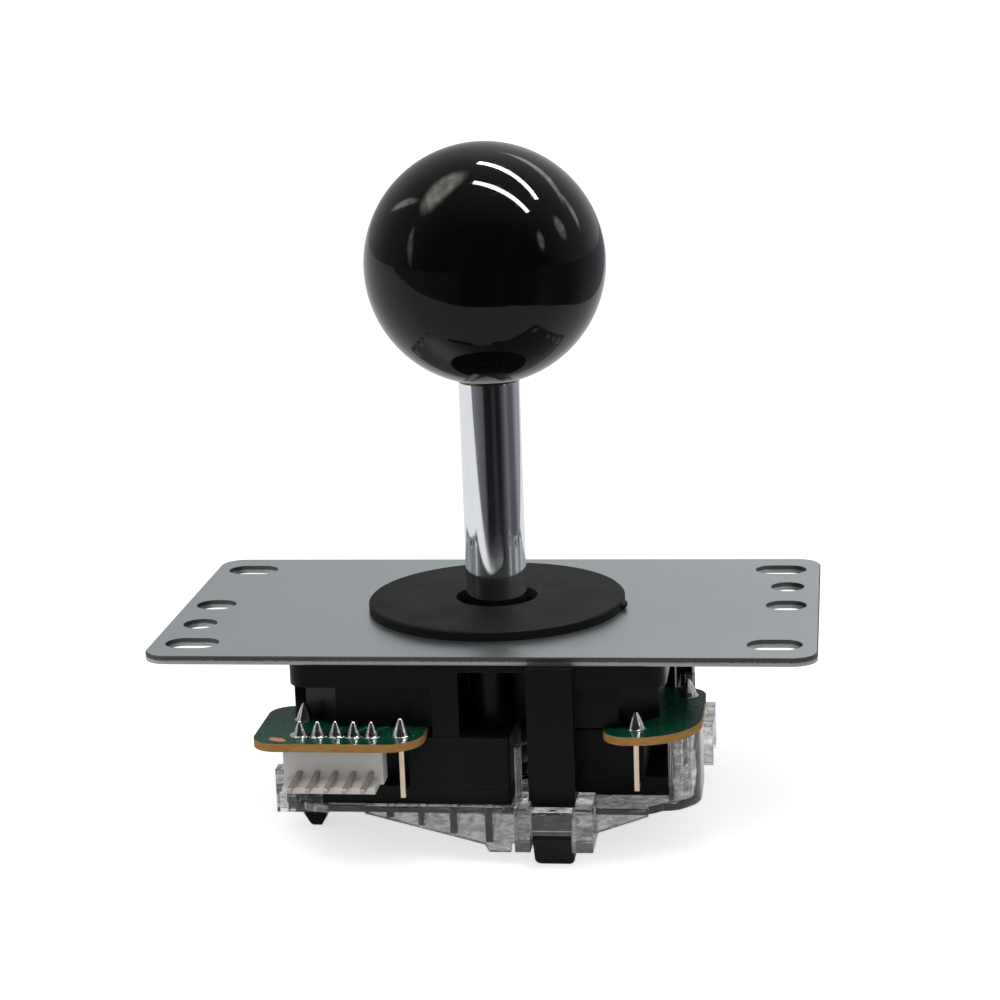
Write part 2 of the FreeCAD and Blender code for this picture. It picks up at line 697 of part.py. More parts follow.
# Circuit board: four ears round a square middle, over the four switches
def board_ear(x0, x1, y_in, y_out, corner_r, big_r):
    root = y_in + EAR_ROOT
    return slab(
        [
            (x0, y_out, big_r),
            (x1, y_out, corner_r),
            (x1, root, 0),
            (-BOARD_HALF, root, 0),
            (-BOARD_HALF, y_in, 0),
            (x0, y_in, EAR_CORNER_R),
        ],
        BOARD_BOTTOM_Z,
        BOARD_TOP_Z,
    )


def circuit_board():
    board = slab(
        rectangle(-BOARD_HALF, BOARD_HALF, -BOARD_HALF, BOARD_HALF, BOARD_CORNER_R),
        BOARD_BOTTOM_Z,
        BOARD_TOP_Z,
    )
    cable_ear = board_ear(
        EAR_X0 - CABLE_EAR_WIDER,
        EAR_X1 - CABLE_EAR_SHORTER,
        CABLE_EAR_Y_IN,
        CABLE_EAR_Y_OUT,
        CABLE_EAR_CORNER_R,
        EAR_CORNER_R,
    )
    plain_ear = board_ear(EAR_X0, EAR_X1, EAR_Y_IN, EAR_Y_OUT, EAR_CORNER_R, EAR_BIG_R)
    board = fused([board, cable_ear] + [turned_to(plain_ear, side) for side in SIDES[1:]])
    z0, z1 = BOARD_BOTTOM_Z - OVER, BOARD_TOP_Z + OVER
    holes = [cylinder(0, 0, z0, z1, BOARD_HOLE_R)]
    for x, y, w, d in terminal_places():
        half_w = w / 2 + PAD_GAP
        half_d = d / 2 + PAD_GAP
        holes += all_sides(box(x - half_w, x + half_w, y - half_d, y + half_d, z0, z1))
    half = PIN_W / 2 + PIN_HOLE_GAP
    for x in pin_places():
        holes.append(box(x - half, x + half, PIN_LEG_Y - half, PIN_LEG_Y + half, z0, z1))
    for hole in holes:
        board = board.cut(hole)
    return board


# Switch terminals: bent strips from the switch's side and end up through the board
def terminal_places():
    """Centre, width along X and depth along Y of the two blades of the front switch."""
    return [
        (TERMINAL_SIDE_X, TERMINAL_SIDE_Y, TERMINAL_W, TERMINAL_T),
        (TERMINAL_END_X, TERMINAL_END_Y, TERMINAL_T, TERMINAL_W),
    ]


def switch_terminals(side):
    blades = []
    top = BOARD_TOP_Z + TERMINAL_TIP
    foot_top = TERMINAL_FOOT_Z + TERMINAL_T
    for x, y, w, d in terminal_places():
        blades.append(box(x - w / 2, x + w / 2, y - d / 2, y + d / 2, TERMINAL_FOOT_Z, top))
    x, y, w, d = terminal_places()[0]
    side_foot = box(x - w / 2, x + w / 2, y + d / 2, -SWITCH_OUT, TERMINAL_FOOT_Z, foot_top)
    x, y, w, d = terminal_places()[1]
    end_foot = box(x + w / 2, SWITCH_X0, y - d / 2, y + d / 2, TERMINAL_FOOT_Z, foot_top)
    strips = [fused([blades[0], side_foot]), fused([blades[1], end_foot])]
    return turned_to(Part.makeCompound(strips), side)


def solder_cone(x, y, height, radius, half_w, half_d):
    profile = [(0, BOARD_TOP_Z)]
    for share, rise in SOLDER_STEPS:
        profile.append((radius * share, BOARD_TOP_Z + height * rise))
    profile.append((0, BOARD_TOP_Z + height))
    tip = BOARD_TOP_Z + TERMINAL_TIP
    core = box(x - half_w, x + half_w, y - half_d, y + half_d, BOARD_TOP_Z - OVER, tip)
    return turned(profile).translated(vec(x, y, 0)).cut(core)


def solder_joints():
    joints = []
    for x, y, w, d in terminal_places():
        joints += all_sides(solder_cone(x, y, SOLDER_H, SOLDER_R, w / 2, d / 2))
    for x in pin_places():
        joints.append(solder_cone(x, PIN_LEG_Y, PIN_SOLDER_H, PIN_SOLDER_R, PIN_W / 2, PIN_W / 2))
    return Part.makeCompound(joints)


# Cable header: a white block with a locking shelf and five bent pins
def pin_places():
    return [PIN_FIRST_X + i * PIN_PITCH for i in range(PIN_COUNT)]


def header_housing():
    block = box(HEADER_X0, HEADER_X1, HEADER_BLOCK_Y0, HEADER_BLOCK_Y1, HEADER_BOTTOM_Z, BOARD_BOTTOM_Z)
    shelf = box(
        HEADER_X0 + HEADER_SHELF_INSET,
        HEADER_X1 - HEADER_SHELF_INSET,
        HEADER_SHELF_Y,
        HEADER_BLOCK_Y0,
        HEADER_BOTTOM_Z,
        HEADER_BOTTOM_Z + HEADER_SHELF_T,
    )
    header = fused([block, shelf])
    for pin in pins():
        header = header.cut(pin)
    return header


def pins():
    half = PIN_W / 2
    top = BOARD_TOP_Z + TERMINAL_TIP
    bent = []
    for x in pin_places():
        leg = box(x - half, x + half, PIN_LEG_Y - half, PIN_LEG_Y + half, PIN_Z - half, top)
        arm = box(x - half, x + half, PIN_TIP_Y, PIN_LEG_Y + half, PIN_Z - half, PIN_Z + half)
        bent.append(fused([leg, arm]))
    return bent


def header_pins():
    pointed = []
    for pin in pins():
        tip = [edge for edge in pin.Edges if abs(edge.BoundBox.YMax - PIN_TIP_Y) < 1e-4]
        pointed.append(pin.makeChamfer(PIN_CHAMFER, tip))
    return Part.makeCompound(pointed)


# Switches: case, cover, hinged lever and plunger, the same on all four sides
def hinge_ear(z0, z1):
    x, y = LEVER_PIVOT_X, LEVER_PIVOT_Y
    ear = box(x - EAR_HALF, x + EAR_HALF, -SWITCH_IN, y, z0, z1).fuse(cylinder(x, y, z0, z1, EAR_HALF))
    return ear.cut(cylinder(x, y, z0 - OVER, z1 + OVER, LEVER_PIN_R + RUNNING))


def lever_heights():
    half = LEVER_H / 2
    return LEVER_Z - half, LEVER_Z + half


def plunger_slot():
    half = PLUNGER_HALF_W + FREE
    inner = plunger_nose_y() - PLUNGER_L - PLUNGER_ROOM
    return box(PLUNGER_X - half, PLUNGER_X + half, inner, -SWITCH_IN + OVER, SEAM_Z, PLUNGER_Z1 + FREE)


def switch_case():
    case = box(SWITCH_X0, SWITCH_X1, -SWITCH_OUT, -SWITCH_IN, SEAM_Z, BOARD_BOTTOM_Z)
    recess_back = -SWITCH_OUT + RECESS_DEPTH
    recess = box(SWITCH_X0 - OVER, RECESS_X1, -SWITCH_OUT - OVER, recess_back, SEAM_Z - OVER, 0)
    case = case.cut(recess)
    upright = [
        edge for edge in case.Edges
        if edge.BoundBox.ZLength > SWITCH_EDGE and edge.BoundBox.XMin > SWITCH_X1 - SWITCH_EDGE
    ]
    case = case.makeFillet(SWITCH_EDGE, upright)
    low, high = lever_heights()
    ear = hinge_ear(high + EAR_GAP, high + EAR_GAP + EAR_T)
    return fused([case, ear]).cut(plunger_slot())


def switch_cover():
    cover = box(SWITCH_X0, SWITCH_X1, -SWITCH_OUT, -SWITCH_IN, SWITCH_BOTTOM_Z, SEAM_Z)
    upright = [edge for edge in cover.Edges if edge.BoundBox.ZLength > SWITCH_EDGE]
    cover = cover.makeFillet(SWITCH_EDGE, upright)
    low, high = lever_heights()
    cover = fused([cover, hinge_ear(low - EAR_GAP - EAR_T, low - EAR_GAP)])
    panel = box(
        SWITCH_X0 + PANEL_MARGIN,
        SWITCH_X1 - PANEL_MARGIN,
        -SWITCH_OUT + PANEL_MARGIN,
        -SWITCH_IN - PANEL_MARGIN,
        SWITCH_BOTTOM_Z - OVER,
        SWITCH_BOTTOM_Z + PANEL_DEPTH,
    )
    cover = cover.cut(panel)
    middle = -(SWITCH_OUT + SWITCH_IN) / 2
    for x in LOCATING_HOLES:
        top = SWITCH_BOTTOM_Z + LOCATING_HOLE_DEPTH
        cover = cover.cut(cylinder(x, middle, SWITCH_BOTTOM_Z - OVER, top, LOCATING_HOLE_R))
    return cover


def lever_line():
    """Start and end of the lever's flat, from its hinge to the foot of its bump."""
    bump_y = -ACTUATOR_BULGE_R - FREE - BUMP_R
    start = vec(LEVER_PIVOT_X, LEVER_PIVOT_Y, 0)
    end = vec(-BUMP_R + LEVER_T / 2, bump_y - BUMP_FOOT, 0)
    return start, end


def switch_lever():
    low, high = lever_heights()
    start, end = lever_line()
    along = (end - start).normalize()
    across = vec(-along.y, along.x, 0) * (LEVER_T / 2)
    corners = [start + across, end + across, end - across, start - across]
    flat = Part.Face(Part.makePolygon(corners + corners[:1])).extrude(vec(0, 0, LEVER_H))
    flat.translate(vec(0, 0, low))
    bump_y = -ACTUATOR_BULGE_R - FREE - BUMP_R
    bump = cylinder(0, bump_y, low, high, BUMP_R).cut(cylinder(0, bump_y, low, high, BUMP_R - LEVER_T))
    past = BUMP_R + OVER
    bump = bump.cut(box(-past, past, bump_y - past, bump_y - BUMP_FOOT, low - OVER, high + OVER))
    barrel = cylinder(start.x, start.y, low, high, LEVER_BARREL_R)
    reach = EAR_GAP + EAR_T
    pin = cylinder(start.x, start.y, low - reach, high + reach, LEVER_PIN_R)
    return fused([flat, bump, barrel, pin])


def plunger_nose_y():
    """Where the plunger's nose stops, just short of the lever's flat."""
    start, end = lever_line()
    slope = (end.y - start.y) / (end.x - start.x)
    flat_y = start.y + (PLUNGER_X - start.x) * slope
    return flat_y - LEVER_T / 2 / math.cos(math.atan(slope)) - FREE


def switch_plunger():
    nose = plunger_nose_y()
    half = PLUNGER_HALF_W
    stem = box(PLUNGER_X - half, PLUNGER_X + half, nose - PLUNGER_L, nose, PLUNGER_Z0, PLUNGER_Z1)
    rounded = cylinder(PLUNGER_X, nose - PLUNGER_NOSE_R, PLUNGER_Z0, PLUNGER_Z1, PLUNGER_NOSE_R)
    tail_end = nose - PLUNGER_NOSE_R
    tail = box(PLUNGER_X - half, PLUNGER_X + half, nose - PLUNGER_L, tail_end, PLUNGER_Z0, PLUNGER_Z1)
    return fused([stem.common(rounded), tail])


# Clear gate: a base under the switches, a bracket at each clip, webs and a dished hub
def bracket():
    """Cheeks and a bar round one clip, and a thin upright beside its post."""
    top = SWITCH_BOTTOM_Z
    left_end = TONGUE_X0 - FREE
    right_start = TONGUE_X1 + FREE
    behind = -POST_OUT - CHEEK_SET_IN
    upright_in = -SWITCH_OUT - UPRIGHT_IN + UPRIGHT_T
    return [
        box(BRACKET_X0, left_end, -BRACKET_OUT, -BAR_IN, BRACKET_BOTTOM_Z, CHEEK_TOP_Z),
        box(POST_X1 + FREE, BRACKET_X1, -BRACKET_OUT, -HOOK_IN, BRACKET_BOTTOM_Z, CHEEK_TOP_Z),
        box(right_start, BRACKET_X1, -BRACKET_OUT, -HOOK_IN, BRACKET_BOTTOM_Z, top - FREE),
        box(BRACKET_X0, POST_X0 - FREE, behind, -HOOK_IN, BRACKET_BOTTOM_Z, CHEEK_TOP_Z),
        box(BRACKET_X0, left_end, behind, -HOOK_IN, BRACKET_BOTTOM_Z, top - FREE),
        box(left_end - FREE, right_start + FREE, -BRACKET_OUT, -BAR_IN, HOOK_TOP_Z + BAR_GAP, BAR_TOP_Z),
        box(BRACKET_X0, BRACKET_X1, -HOOK_IN + FREE, -HOOK_IN + WALL + FREE, BRACKET_BOTTOM_Z, GATE_BOTTOM_Z),
        box(BRACKET_X0, BRACKET_X0 + UPRIGHT_T, behind, upright_in, CHEEK_TOP_Z - OVER, UPRIGHT_TOP_Z),
    ]


def upright_wall(corners, y0, thickness):
    """A wall along X from (x, z) corners, from y0 outwards."""
    points = [vec(x, y0, z) for x, z in corners]
    return Part.Face(Part.makePolygon(points + points[:1])).extrude(vec(0, -thickness, 0))


def web_bottom(x):
    """Height of the slanted web's lower edge."""
    slope = (WEB_KNEE_Z - GATE_BOTTOM_Z) / (WEB_KNEE_X - WEB_X0)
    return max(WEB_KNEE_Z, GATE_BOTTOM_Z + (x - WEB_X0) * slope)


def webs():
    """The slanted webs each side of a bracket, and the gussets that tie the longer one to the dish."""
    top = SWITCH_BOTTOM_Z
    left = [
        (WEB_X0, top),
        (BRACKET_X0, top),
        (BRACKET_X0, BRACKET_BOTTOM_Z),
        (WEB_FOOT_X1, BRACKET_BOTTOM_Z),
        (WEB_FOOT_X1, WEB_FOOT_Z),
        (WEB_FOOT_X, WEB_FOOT_Z),
        (WEB_KNEE_X, WEB_KNEE_Z),
        (WEB_X0, GATE_BOTTOM_Z),
    ]
    right = [
        (BRACKET_X1, top),
        (WEB_RIGHT_X, top),
        (WEB_RIGHT_X, GATE_BOTTOM_Z),
        (BRACKET_X1, WEB_RIGHT_Z),
    ]
    shapes = [upright_wall(left, -SWITCH_OUT, WALL), upright_wall(right, -SWITCH_OUT, WALL)]
    for x in GUSSETS:
        corners = [
            vec(x, -SWITCH_OUT - FREE, GATE_BOTTOM_Z + FREE),
            vec(x, -GUSSET_IN, GATE_BOTTOM_Z + FREE),
            vec(x, -SWITCH_OUT - FREE, web_bottom(x)),
        ]
        shapes.append(Part.Face(Part.makePolygon(corners + corners[:1])).extrude(vec(GUSSET_T, 0, 0)))
    return shapes


def corner_pad():
    return slab(
        [
            (CORNER_X0 + CORNER_END_R, -CORNER_IN, 0),
            (CORNER_X1, -CORNER_IN, 0),
            (CORNER_X1, -CORNER_WALL_OUT, CORNER_END_R),
            (CORNER_BEND_X, -CORNER_WALL_OUT, CORNER_R),
            (CORNER_X0, -CORNER_KNEE, CORNER_KNEE_R),
        ],
        GATE_BOTTOM_Z,
        SWITCH_BOTTOM_Z,
    )


def corner_wall():
    """The rounded wall that closes a corner from the pad to the board."""
    outer = slab(
        [
            (CORNER_X0 + CORNER_KNEE_R, -CORNER_IN, 0),
            (CORNER_WALL_X1, -CORNER_IN, 0),
            (CORNER_WALL_X1, -CORNER_WALL_OUT, 0),
            (CORNER_BEND_X, -CORNER_WALL_OUT, CORNER_R),
            (CORNER_X0, -CORNER_KNEE, CORNER_KNEE_R),
        ],
        GATE_BOTTOM_Z,
        BOARD_BOTTOM_Z,
    )
    keep = slab(
        [
            (CORNER_X0 - CORNER_R, -CORNER_IN + OVER, 0),
            (CORNER_WALL_X1 + OVER, -CORNER_IN + OVER, 0),
            (CORNER_WALL_X1 + OVER, -CORNER_WALL_OUT + WALL, 0),
            (CORNER_BEND_X, -CORNER_WALL_OUT + WALL, CORNER_R - WALL),
            (CORNER_X0 + WALL, -CORNER_KNEE + WALL / 2, CORNER_KNEE_R - WALL),
        ],
        SWITCH_BOTTOM_Z,
        0,
    )
    return outer.cut(keep)


def cable_wall():
    """The short wall beside the cable header, on a foot of its own."""
    left, right = CABLE_WALL_X0, CABLE_WALL_X0 + WALL
    foot = box(left, -CORNER_IN, -CABLE_WALL_OUT, -CABLE_WALL_IN, GATE_BOTTOM_Z, SWITCH_BOTTOM_Z)
    return foot.fuse(box(left, right, -CABLE_WALL_OUT, -CABLE_WALL_IN, SWITCH_BOTTOM_Z, BOARD_BOTTOM_Z))


def gate_side(side):
    pieces = bracket() + webs()
    pieces += [cable_wall()] if side == "front" else [corner_pad(), corner_wall()]
    return [turned_to(piece, side) for piece in pieces]


def gate_frame():
    base = slab(
        rectangle(-GATE_HALF, GATE_HALF, -GATE_HALF, GATE_HALF, GATE_CORNER_R),
        GATE_BOTTOM_Z,
        SWITCH_BOTTOM_Z,
    )
    base = base.cut(cylinder(0, 0, GATE_BOTTOM_Z, SWITCH_BOTTOM_Z, DISH_R - DISH_LEDGE))
    wall_z = HUB_BOTTOM_Z + HUB_T
    lip_top = DISC_TOP_Z + LIP_T
    bore = DISC_R + FREE
    hub = turned([
        (DISH_R, SWITCH_BOTTOM_Z),
        (DISH_R, GATE_BOTTOM_Z),
        (HUB_R, HUB_BOTTOM_Z),
        (bore, HUB_BOTTOM_Z),
        (bore, DISC_TOP_Z),
        (bore - LIP_W, DISC_TOP_Z),
        (bore - LIP_W, lip_top),
        (bore + WALL, lip_top),
        (bore + WALL, wall_z),
        (HUB_R - DISH_LEDGE, wall_z),
        (DISH_R - DISH_WALL + DISH_ROUND, SWITCH_BOTTOM_Z - DISH_ROUND),
        (DISH_R - DISH_WALL, SWITCH_BOTTOM_Z),
    ])
    shapes = [base, hub]
    for side in SIDES:
        shapes += gate_side(side)
    for angle in (0, 90, 180, 270):
        nub_top = DISC_TOP_Z - DISC_T - RUNNING
        nub = box(bore - NUB_IN, bore + NUB_OUT, -NUB_HALF, NUB_HALF, HUB_BOTTOM_Z, nub_top)
        nub.rotate(vec(0, 0, 0), vec(0, 0, 1), angle)
        shapes.append(nub)
    frame = fused(shapes)
    hollow = cone(0, 0, HUB_BOTTOM_Z + HUB_T, SWITCH_BOTTOM_Z, HUB_R - DISH_LEDGE, DISH_R - DISH_WALL)
    ring = cylinder(0, 0, HUB_BOTTOM_Z + HUB_T, SWITCH_BOTTOM_Z, bore + WALL)
    frame = frame.cut(hollow.cut(ring))
    slot_x0, slot_x1 = TONGUE_X0 - FREE, TONGUE_X1 + FREE
    slot_z0, slot_z1 = BRACKET_BOTTOM_Z - OVER, CHEEK_TOP_Z + OVER
    for hole in all_sides(box(slot_x0, slot_x1, -BAR_IN, -HOOK_IN + FREE, slot_z0, slot_z1)):
        frame = frame.cut(hole)
    return frame


# Restrictor disc: its square hole stops the actuator's neck
def gate_disc():
    z1 = DISC_TOP_Z
    z0 = z1 - DISC_T
    disc = cylinder(0, 0, z0, z1, DISC_R)
    for angle in (0, 90, 180, 270):
        x = DISC_POCKET_AT * math.cos(math.radians(angle))
        y = DISC_POCKET_AT * math.sin(math.radians(angle))
        disc = disc.cut(cylinder(x, y, z0 - OVER, z0 + DISC_POCKET_DEPTH, DISC_POCKET_R))
    half = DISC_HOLE_HALF
    return disc.cut(slab(rectangle(-half, half, -half, half, DISC_HOLE_CORNER_R), z0 - OVER, z1 + OVER))


save("ball_top", ball_top())
save("ball_insert", ball_insert())
save("shaft", shaft())
save("e_ring", e_ring())
save("dust_washer", dust_washer())
save("mounting_plate", mounting_plate())
save("plate_screws", plate_screws())
save("body_housing", body_housing())
save("pivot_ball", pivot_ball())
save("spring_washer", spring_washer())
save("return_spring", return_spring())
save("actuator", actuator())
save("circuit_board", circuit_board())
save("solder_joints", solder_joints())
save("header_housing", header_housing())
save("header_pins", header_pins())
save("gate_frame", gate_frame())
save("gate_disc", gate_disc())
for side in SIDES:
    save("switch_case_" + side, turned_to(switch_case(), side))
    save("switch_cover_" + side, turned_to(switch_cover(), side))
    save("switch_lever_" + side, turned_to(switch_lever(), side))
    save("switch_plunger_" + side, turned_to(switch_plunger(), side))
    save("switch_terminals_" + side, switch_terminals(side))
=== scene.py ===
import math

import bmesh
import bpy
from mathutils import Matrix, Vector, noise


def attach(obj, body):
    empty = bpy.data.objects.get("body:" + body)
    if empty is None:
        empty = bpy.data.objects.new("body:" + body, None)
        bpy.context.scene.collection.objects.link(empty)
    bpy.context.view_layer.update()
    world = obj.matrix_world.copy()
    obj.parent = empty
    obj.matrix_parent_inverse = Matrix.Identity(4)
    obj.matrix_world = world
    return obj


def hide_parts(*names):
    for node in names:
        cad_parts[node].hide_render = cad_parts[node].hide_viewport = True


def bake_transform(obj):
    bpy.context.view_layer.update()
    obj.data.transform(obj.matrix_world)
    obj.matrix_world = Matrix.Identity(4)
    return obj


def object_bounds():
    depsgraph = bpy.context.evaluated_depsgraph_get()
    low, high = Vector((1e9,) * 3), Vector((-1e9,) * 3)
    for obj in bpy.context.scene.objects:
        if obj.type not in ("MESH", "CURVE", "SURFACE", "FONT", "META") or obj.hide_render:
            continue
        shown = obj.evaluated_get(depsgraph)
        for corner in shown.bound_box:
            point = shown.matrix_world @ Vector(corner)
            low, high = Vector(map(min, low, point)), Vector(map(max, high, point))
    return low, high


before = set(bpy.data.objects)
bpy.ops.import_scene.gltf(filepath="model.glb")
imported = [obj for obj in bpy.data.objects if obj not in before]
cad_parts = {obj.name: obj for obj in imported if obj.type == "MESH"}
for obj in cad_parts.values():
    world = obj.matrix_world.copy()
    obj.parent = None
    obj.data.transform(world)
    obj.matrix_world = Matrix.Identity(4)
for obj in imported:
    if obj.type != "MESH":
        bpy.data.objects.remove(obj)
cad_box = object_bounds()


# Camera and studio
# The camera stands a little to the right of the lever's front and looks down on the mounting plate by 16 degrees.
# A white table and a white room light it. In gloss the room is dark towards the camera and past the table's edges.
camera = bpy.data.objects.new("photo_camera", bpy.data.cameras.new("photo_camera"))
bpy.context.scene.collection.objects.link(camera)
camera.location = (0.05110, -0.36416, 0.10398)
camera.rotation_euler = (1.335826, 0.035329, 0.128323)
camera.data.sensor_width = 36.0
camera.data.lens = 92.486
camera.data.clip_start = 0.01
camera.data.clip_end = 50.0
bpy.context.scene.camera = camera
bpy.context.scene.view_settings.view_transform = "Standard"

MM = 0.001
TABLE_HALF = 6.0
BALL_HEIGHT = 51.1 * MM
DOME_LEVEL = 0.50
TABLE_LIFT = 0.66
TABLE_GLOSS_LIFT = 0.30
ROOM_DARK = 0.04
ROOM_ABOVE = 0.31
ROOM_REAR = 0.62
ROOM_LEFT = 0.82
ROOM_RIGHT = 1.18
AWAY = (-0.139, 0.962, 0.235)


def mesh_piece(name, points, faces):
    """A new flat-faced object with its place in its mesh."""
    shape = bpy.data.meshes.new(name)
    shape.from_pydata([tuple(p) for p in points], [], faces)
    shape.update()
    piece = bpy.data.objects.new(name, shape)
    bpy.context.scene.collection.objects.link(piece)
    return piece


def step(tree, kind, inputs, **settings):
    """One node of a tree. An input that is a socket is linked, and any other is set."""
    made = tree.nodes.new(kind)
    for key, value in settings.items():
        setattr(made, key, value)
    for key, value in inputs.items():
        if isinstance(value, bpy.types.NodeSocket):
            tree.links.new(value, made.inputs[key])
        else:
            made.inputs[key].default_value = value
    return made


def blend_colours(tree, amount, first, second):
    """Goes from the first colour to the second as amount goes from 0 to 1."""
    mixed = tree.nodes.new("ShaderNodeMix")
    mixed.data_type = "RGBA"
    for place, value in ((0, amount), (6, first), (7, second)):
        if isinstance(value, bpy.types.NodeSocket):
            tree.links.new(value, mixed.inputs[place])
        elif place == 0:
            mixed.inputs[place].default_value = value
        else:
            mixed.inputs[place].default_value = (*value, 1.0)
    return mixed.outputs[2]


def scaled(tree, value, low, high, to_low, to_high):
    """Takes a number from one range to another and keeps it inside."""
    return step(tree, "ShaderNodeMapRange", {"Value": value, "From Min": low, "From Max": high,
                                             "To Min": to_low, "To Max": to_high}).outputs[0]


def combined(tree, operation, first, second):
    return step(tree, "ShaderNodeMath", {0: first, 1: second}, operation=operation).outputs[0]


TABLE_GAP = 0.02 * MM
SURROUND_RISE = 0.3 * MM
floor_z = cad_box[0][2] - TABLE_GAP
table = mesh_piece("table", [(-TABLE_HALF, -TABLE_HALF, floor_z), (TABLE_HALF, -TABLE_HALF, floor_z),
                             (TABLE_HALF, TABLE_HALF, floor_z), (-TABLE_HALF, TABLE_HALF, floor_z)], [(0, 1, 2, 3)])
table_white = bpy.data.materials.new("table_white")
table_white.use_nodes = True
table_tree = table_white.node_tree
table_shader = table_tree.nodes["Principled BSDF"]
table_shader.inputs["Base Color"].default_value = (0.93, 0.93, 0.93, 1.0)
table_shader.inputs["Roughness"].default_value = 0.9
table_shader.inputs["Specular IOR Level"].default_value = 0.1
table_shader.inputs["Emission Color"].default_value = (1.0, 1.0, 1.0, 1.0)
table_sight = step(table_tree, "ShaderNodeLightPath", {})
table_lift = combined(table_tree, "MULTIPLY", table_sight.outputs["Is Camera Ray"], TABLE_LIFT)
table_gloss = combined(table_tree, "MULTIPLY", table_sight.outputs["Is Glossy Ray"], TABLE_GLOSS_LIFT)
table_lift = combined(table_tree, "ADD", table_lift, table_gloss)
table_tree.links.new(table_lift, table_shader.inputs["Emission Strength"])
table.data.materials.append(table_white)

room = bpy.data.worlds.new("white_room")
bpy.context.scene.world = room
room.use_nodes = True
room_tree = room.node_tree
room_tree.nodes.clear()
sight = step(room_tree, "ShaderNodeLightPath", {})
heading = step(room_tree, "ShaderNodeTexCoord", {}).outputs["Generated"]
onward = step(room_tree, "ShaderNodeVectorMath", {0: heading, 1: AWAY}, operation="DOT_PRODUCT").outputs["Value"]
room_level = scaled(room_tree, onward, 0.25, 0.80, ROOM_ABOVE, ROOM_REAR)
sideways = step(room_tree, "ShaderNodeSeparateXYZ", {"Vector": heading}).outputs["X"]
room_level = combined(room_tree, "MULTIPLY", room_level,
                      scaled(room_tree, sideways, -0.30, 0.0, ROOM_LEFT, ROOM_RIGHT))
seen_in_gloss = combined(room_tree, "MULTIPLY", room_level,
                         scaled(room_tree, onward, -0.55, 0.10, ROOM_DARK, 1.0))
seen_directly = combined(room_tree, "MAXIMUM", sight.outputs["Is Camera Ray"], sight.outputs["Is Transmission Ray"])
level = step(room_tree, "ShaderNodeMix", {0: sight.outputs["Is Glossy Ray"], 2: DOME_LEVEL, 3: seen_in_gloss})
level = step(room_tree, "ShaderNodeMix", {0: seen_directly, 2: level.outputs[0], 3: 1.0}).outputs[0]
background = step(room_tree, "ShaderNodeBackground", {"Color": (1.0, 1.0, 1.0, 1.0), "Strength": level})
step(room_tree, "ShaderNodeOutputWorld", {"Surface": background.outputs[0]})

FAR = 6.0
TABLE_EDGE = [(-FAR, -0.165), (-0.131, -0.147), (0.0, -0.138), (0.075, -0.120), (0.122, -0.072), (0.145, 0.0),
              (0.150, 0.120), (0.156, FAR)]
DARK_BANDS = [(-170, 0.30), (-62, 0.20), (-40, 0.13), (-28, 0.10), (-20, 0.014), (2, 0.010), (9, 0.032), (17, 0.030),
              (22, 0.010), (34, 0.014), (46, 0.07), (60, 0.17), (72, 0.10), (90, 0.11), (110, 0.35), (170, 0.35)]
TO_CAMERA = math.radians(-82.0)
surround_z = floor_z + SURROUND_RISE
surround = mesh_piece("dark_surround", [(x, y, surround_z) for x, y in TABLE_EDGE]
                      + [(FAR + 1, FAR, surround_z), (FAR + 1, -FAR, surround_z), (-FAR, -FAR, surround_z)],
                      [tuple(range(len(TABLE_EDGE) + 3))])
surround_dark = bpy.data.materials.new("surround_dark")
surround_dark.use_nodes = True
dark_tree = surround_dark.node_tree
dark_tree.nodes.clear()
dark_place = step(dark_tree, "ShaderNodeTexCoord", {}).outputs["Object"]
dark_turned = step(dark_tree, "ShaderNodeMapping", {"Vector": dark_place, "Rotation": (0, 0, -TO_CAMERA)})
dark_axes = step(dark_tree, "ShaderNodeSeparateXYZ", {"Vector": dark_turned.outputs[0]})
dark_angle = combined(dark_tree, "ARCTAN2", dark_axes.outputs["Y"], dark_axes.outputs["X"])
dark_first = DARK_BANDS[0][0]
dark_span = DARK_BANDS[-1][0] - dark_first
dark_share = scaled(dark_tree, dark_angle, math.radians(dark_first), math.radians(dark_first + dark_span), 0.0, 1.0)
dark_ramp = step(dark_tree, "ShaderNodeValToRGB", {"Fac": dark_share})
dark_stops = dark_ramp.color_ramp.elements
while len(dark_stops) < len(DARK_BANDS):
    dark_stops.new(0.5)
for stop, (turn, shade) in zip(dark_stops, DARK_BANDS):
    stop.position = (turn - dark_first) / dark_span
for stop, (turn, shade) in zip(dark_stops, DARK_BANDS):
    stop.color = (shade, shade * 0.98, shade * 1.12, 1.0)
dark_glow = step(dark_tree, "ShaderNodeEmission", {"Color": dark_ramp.outputs["Color"], "Strength": 1.0})
step(dark_tree, "ShaderNodeOutputMaterial", {"Surface": dark_glow.outputs[0]})
surround.data.materials.append(surround_dark)


def seen_in_gloss_only(piece):
    piece.visible_camera = False
    piece.visible_diffuse = False
    piece.visible_transmission = False
    piece.visible_shadow = False


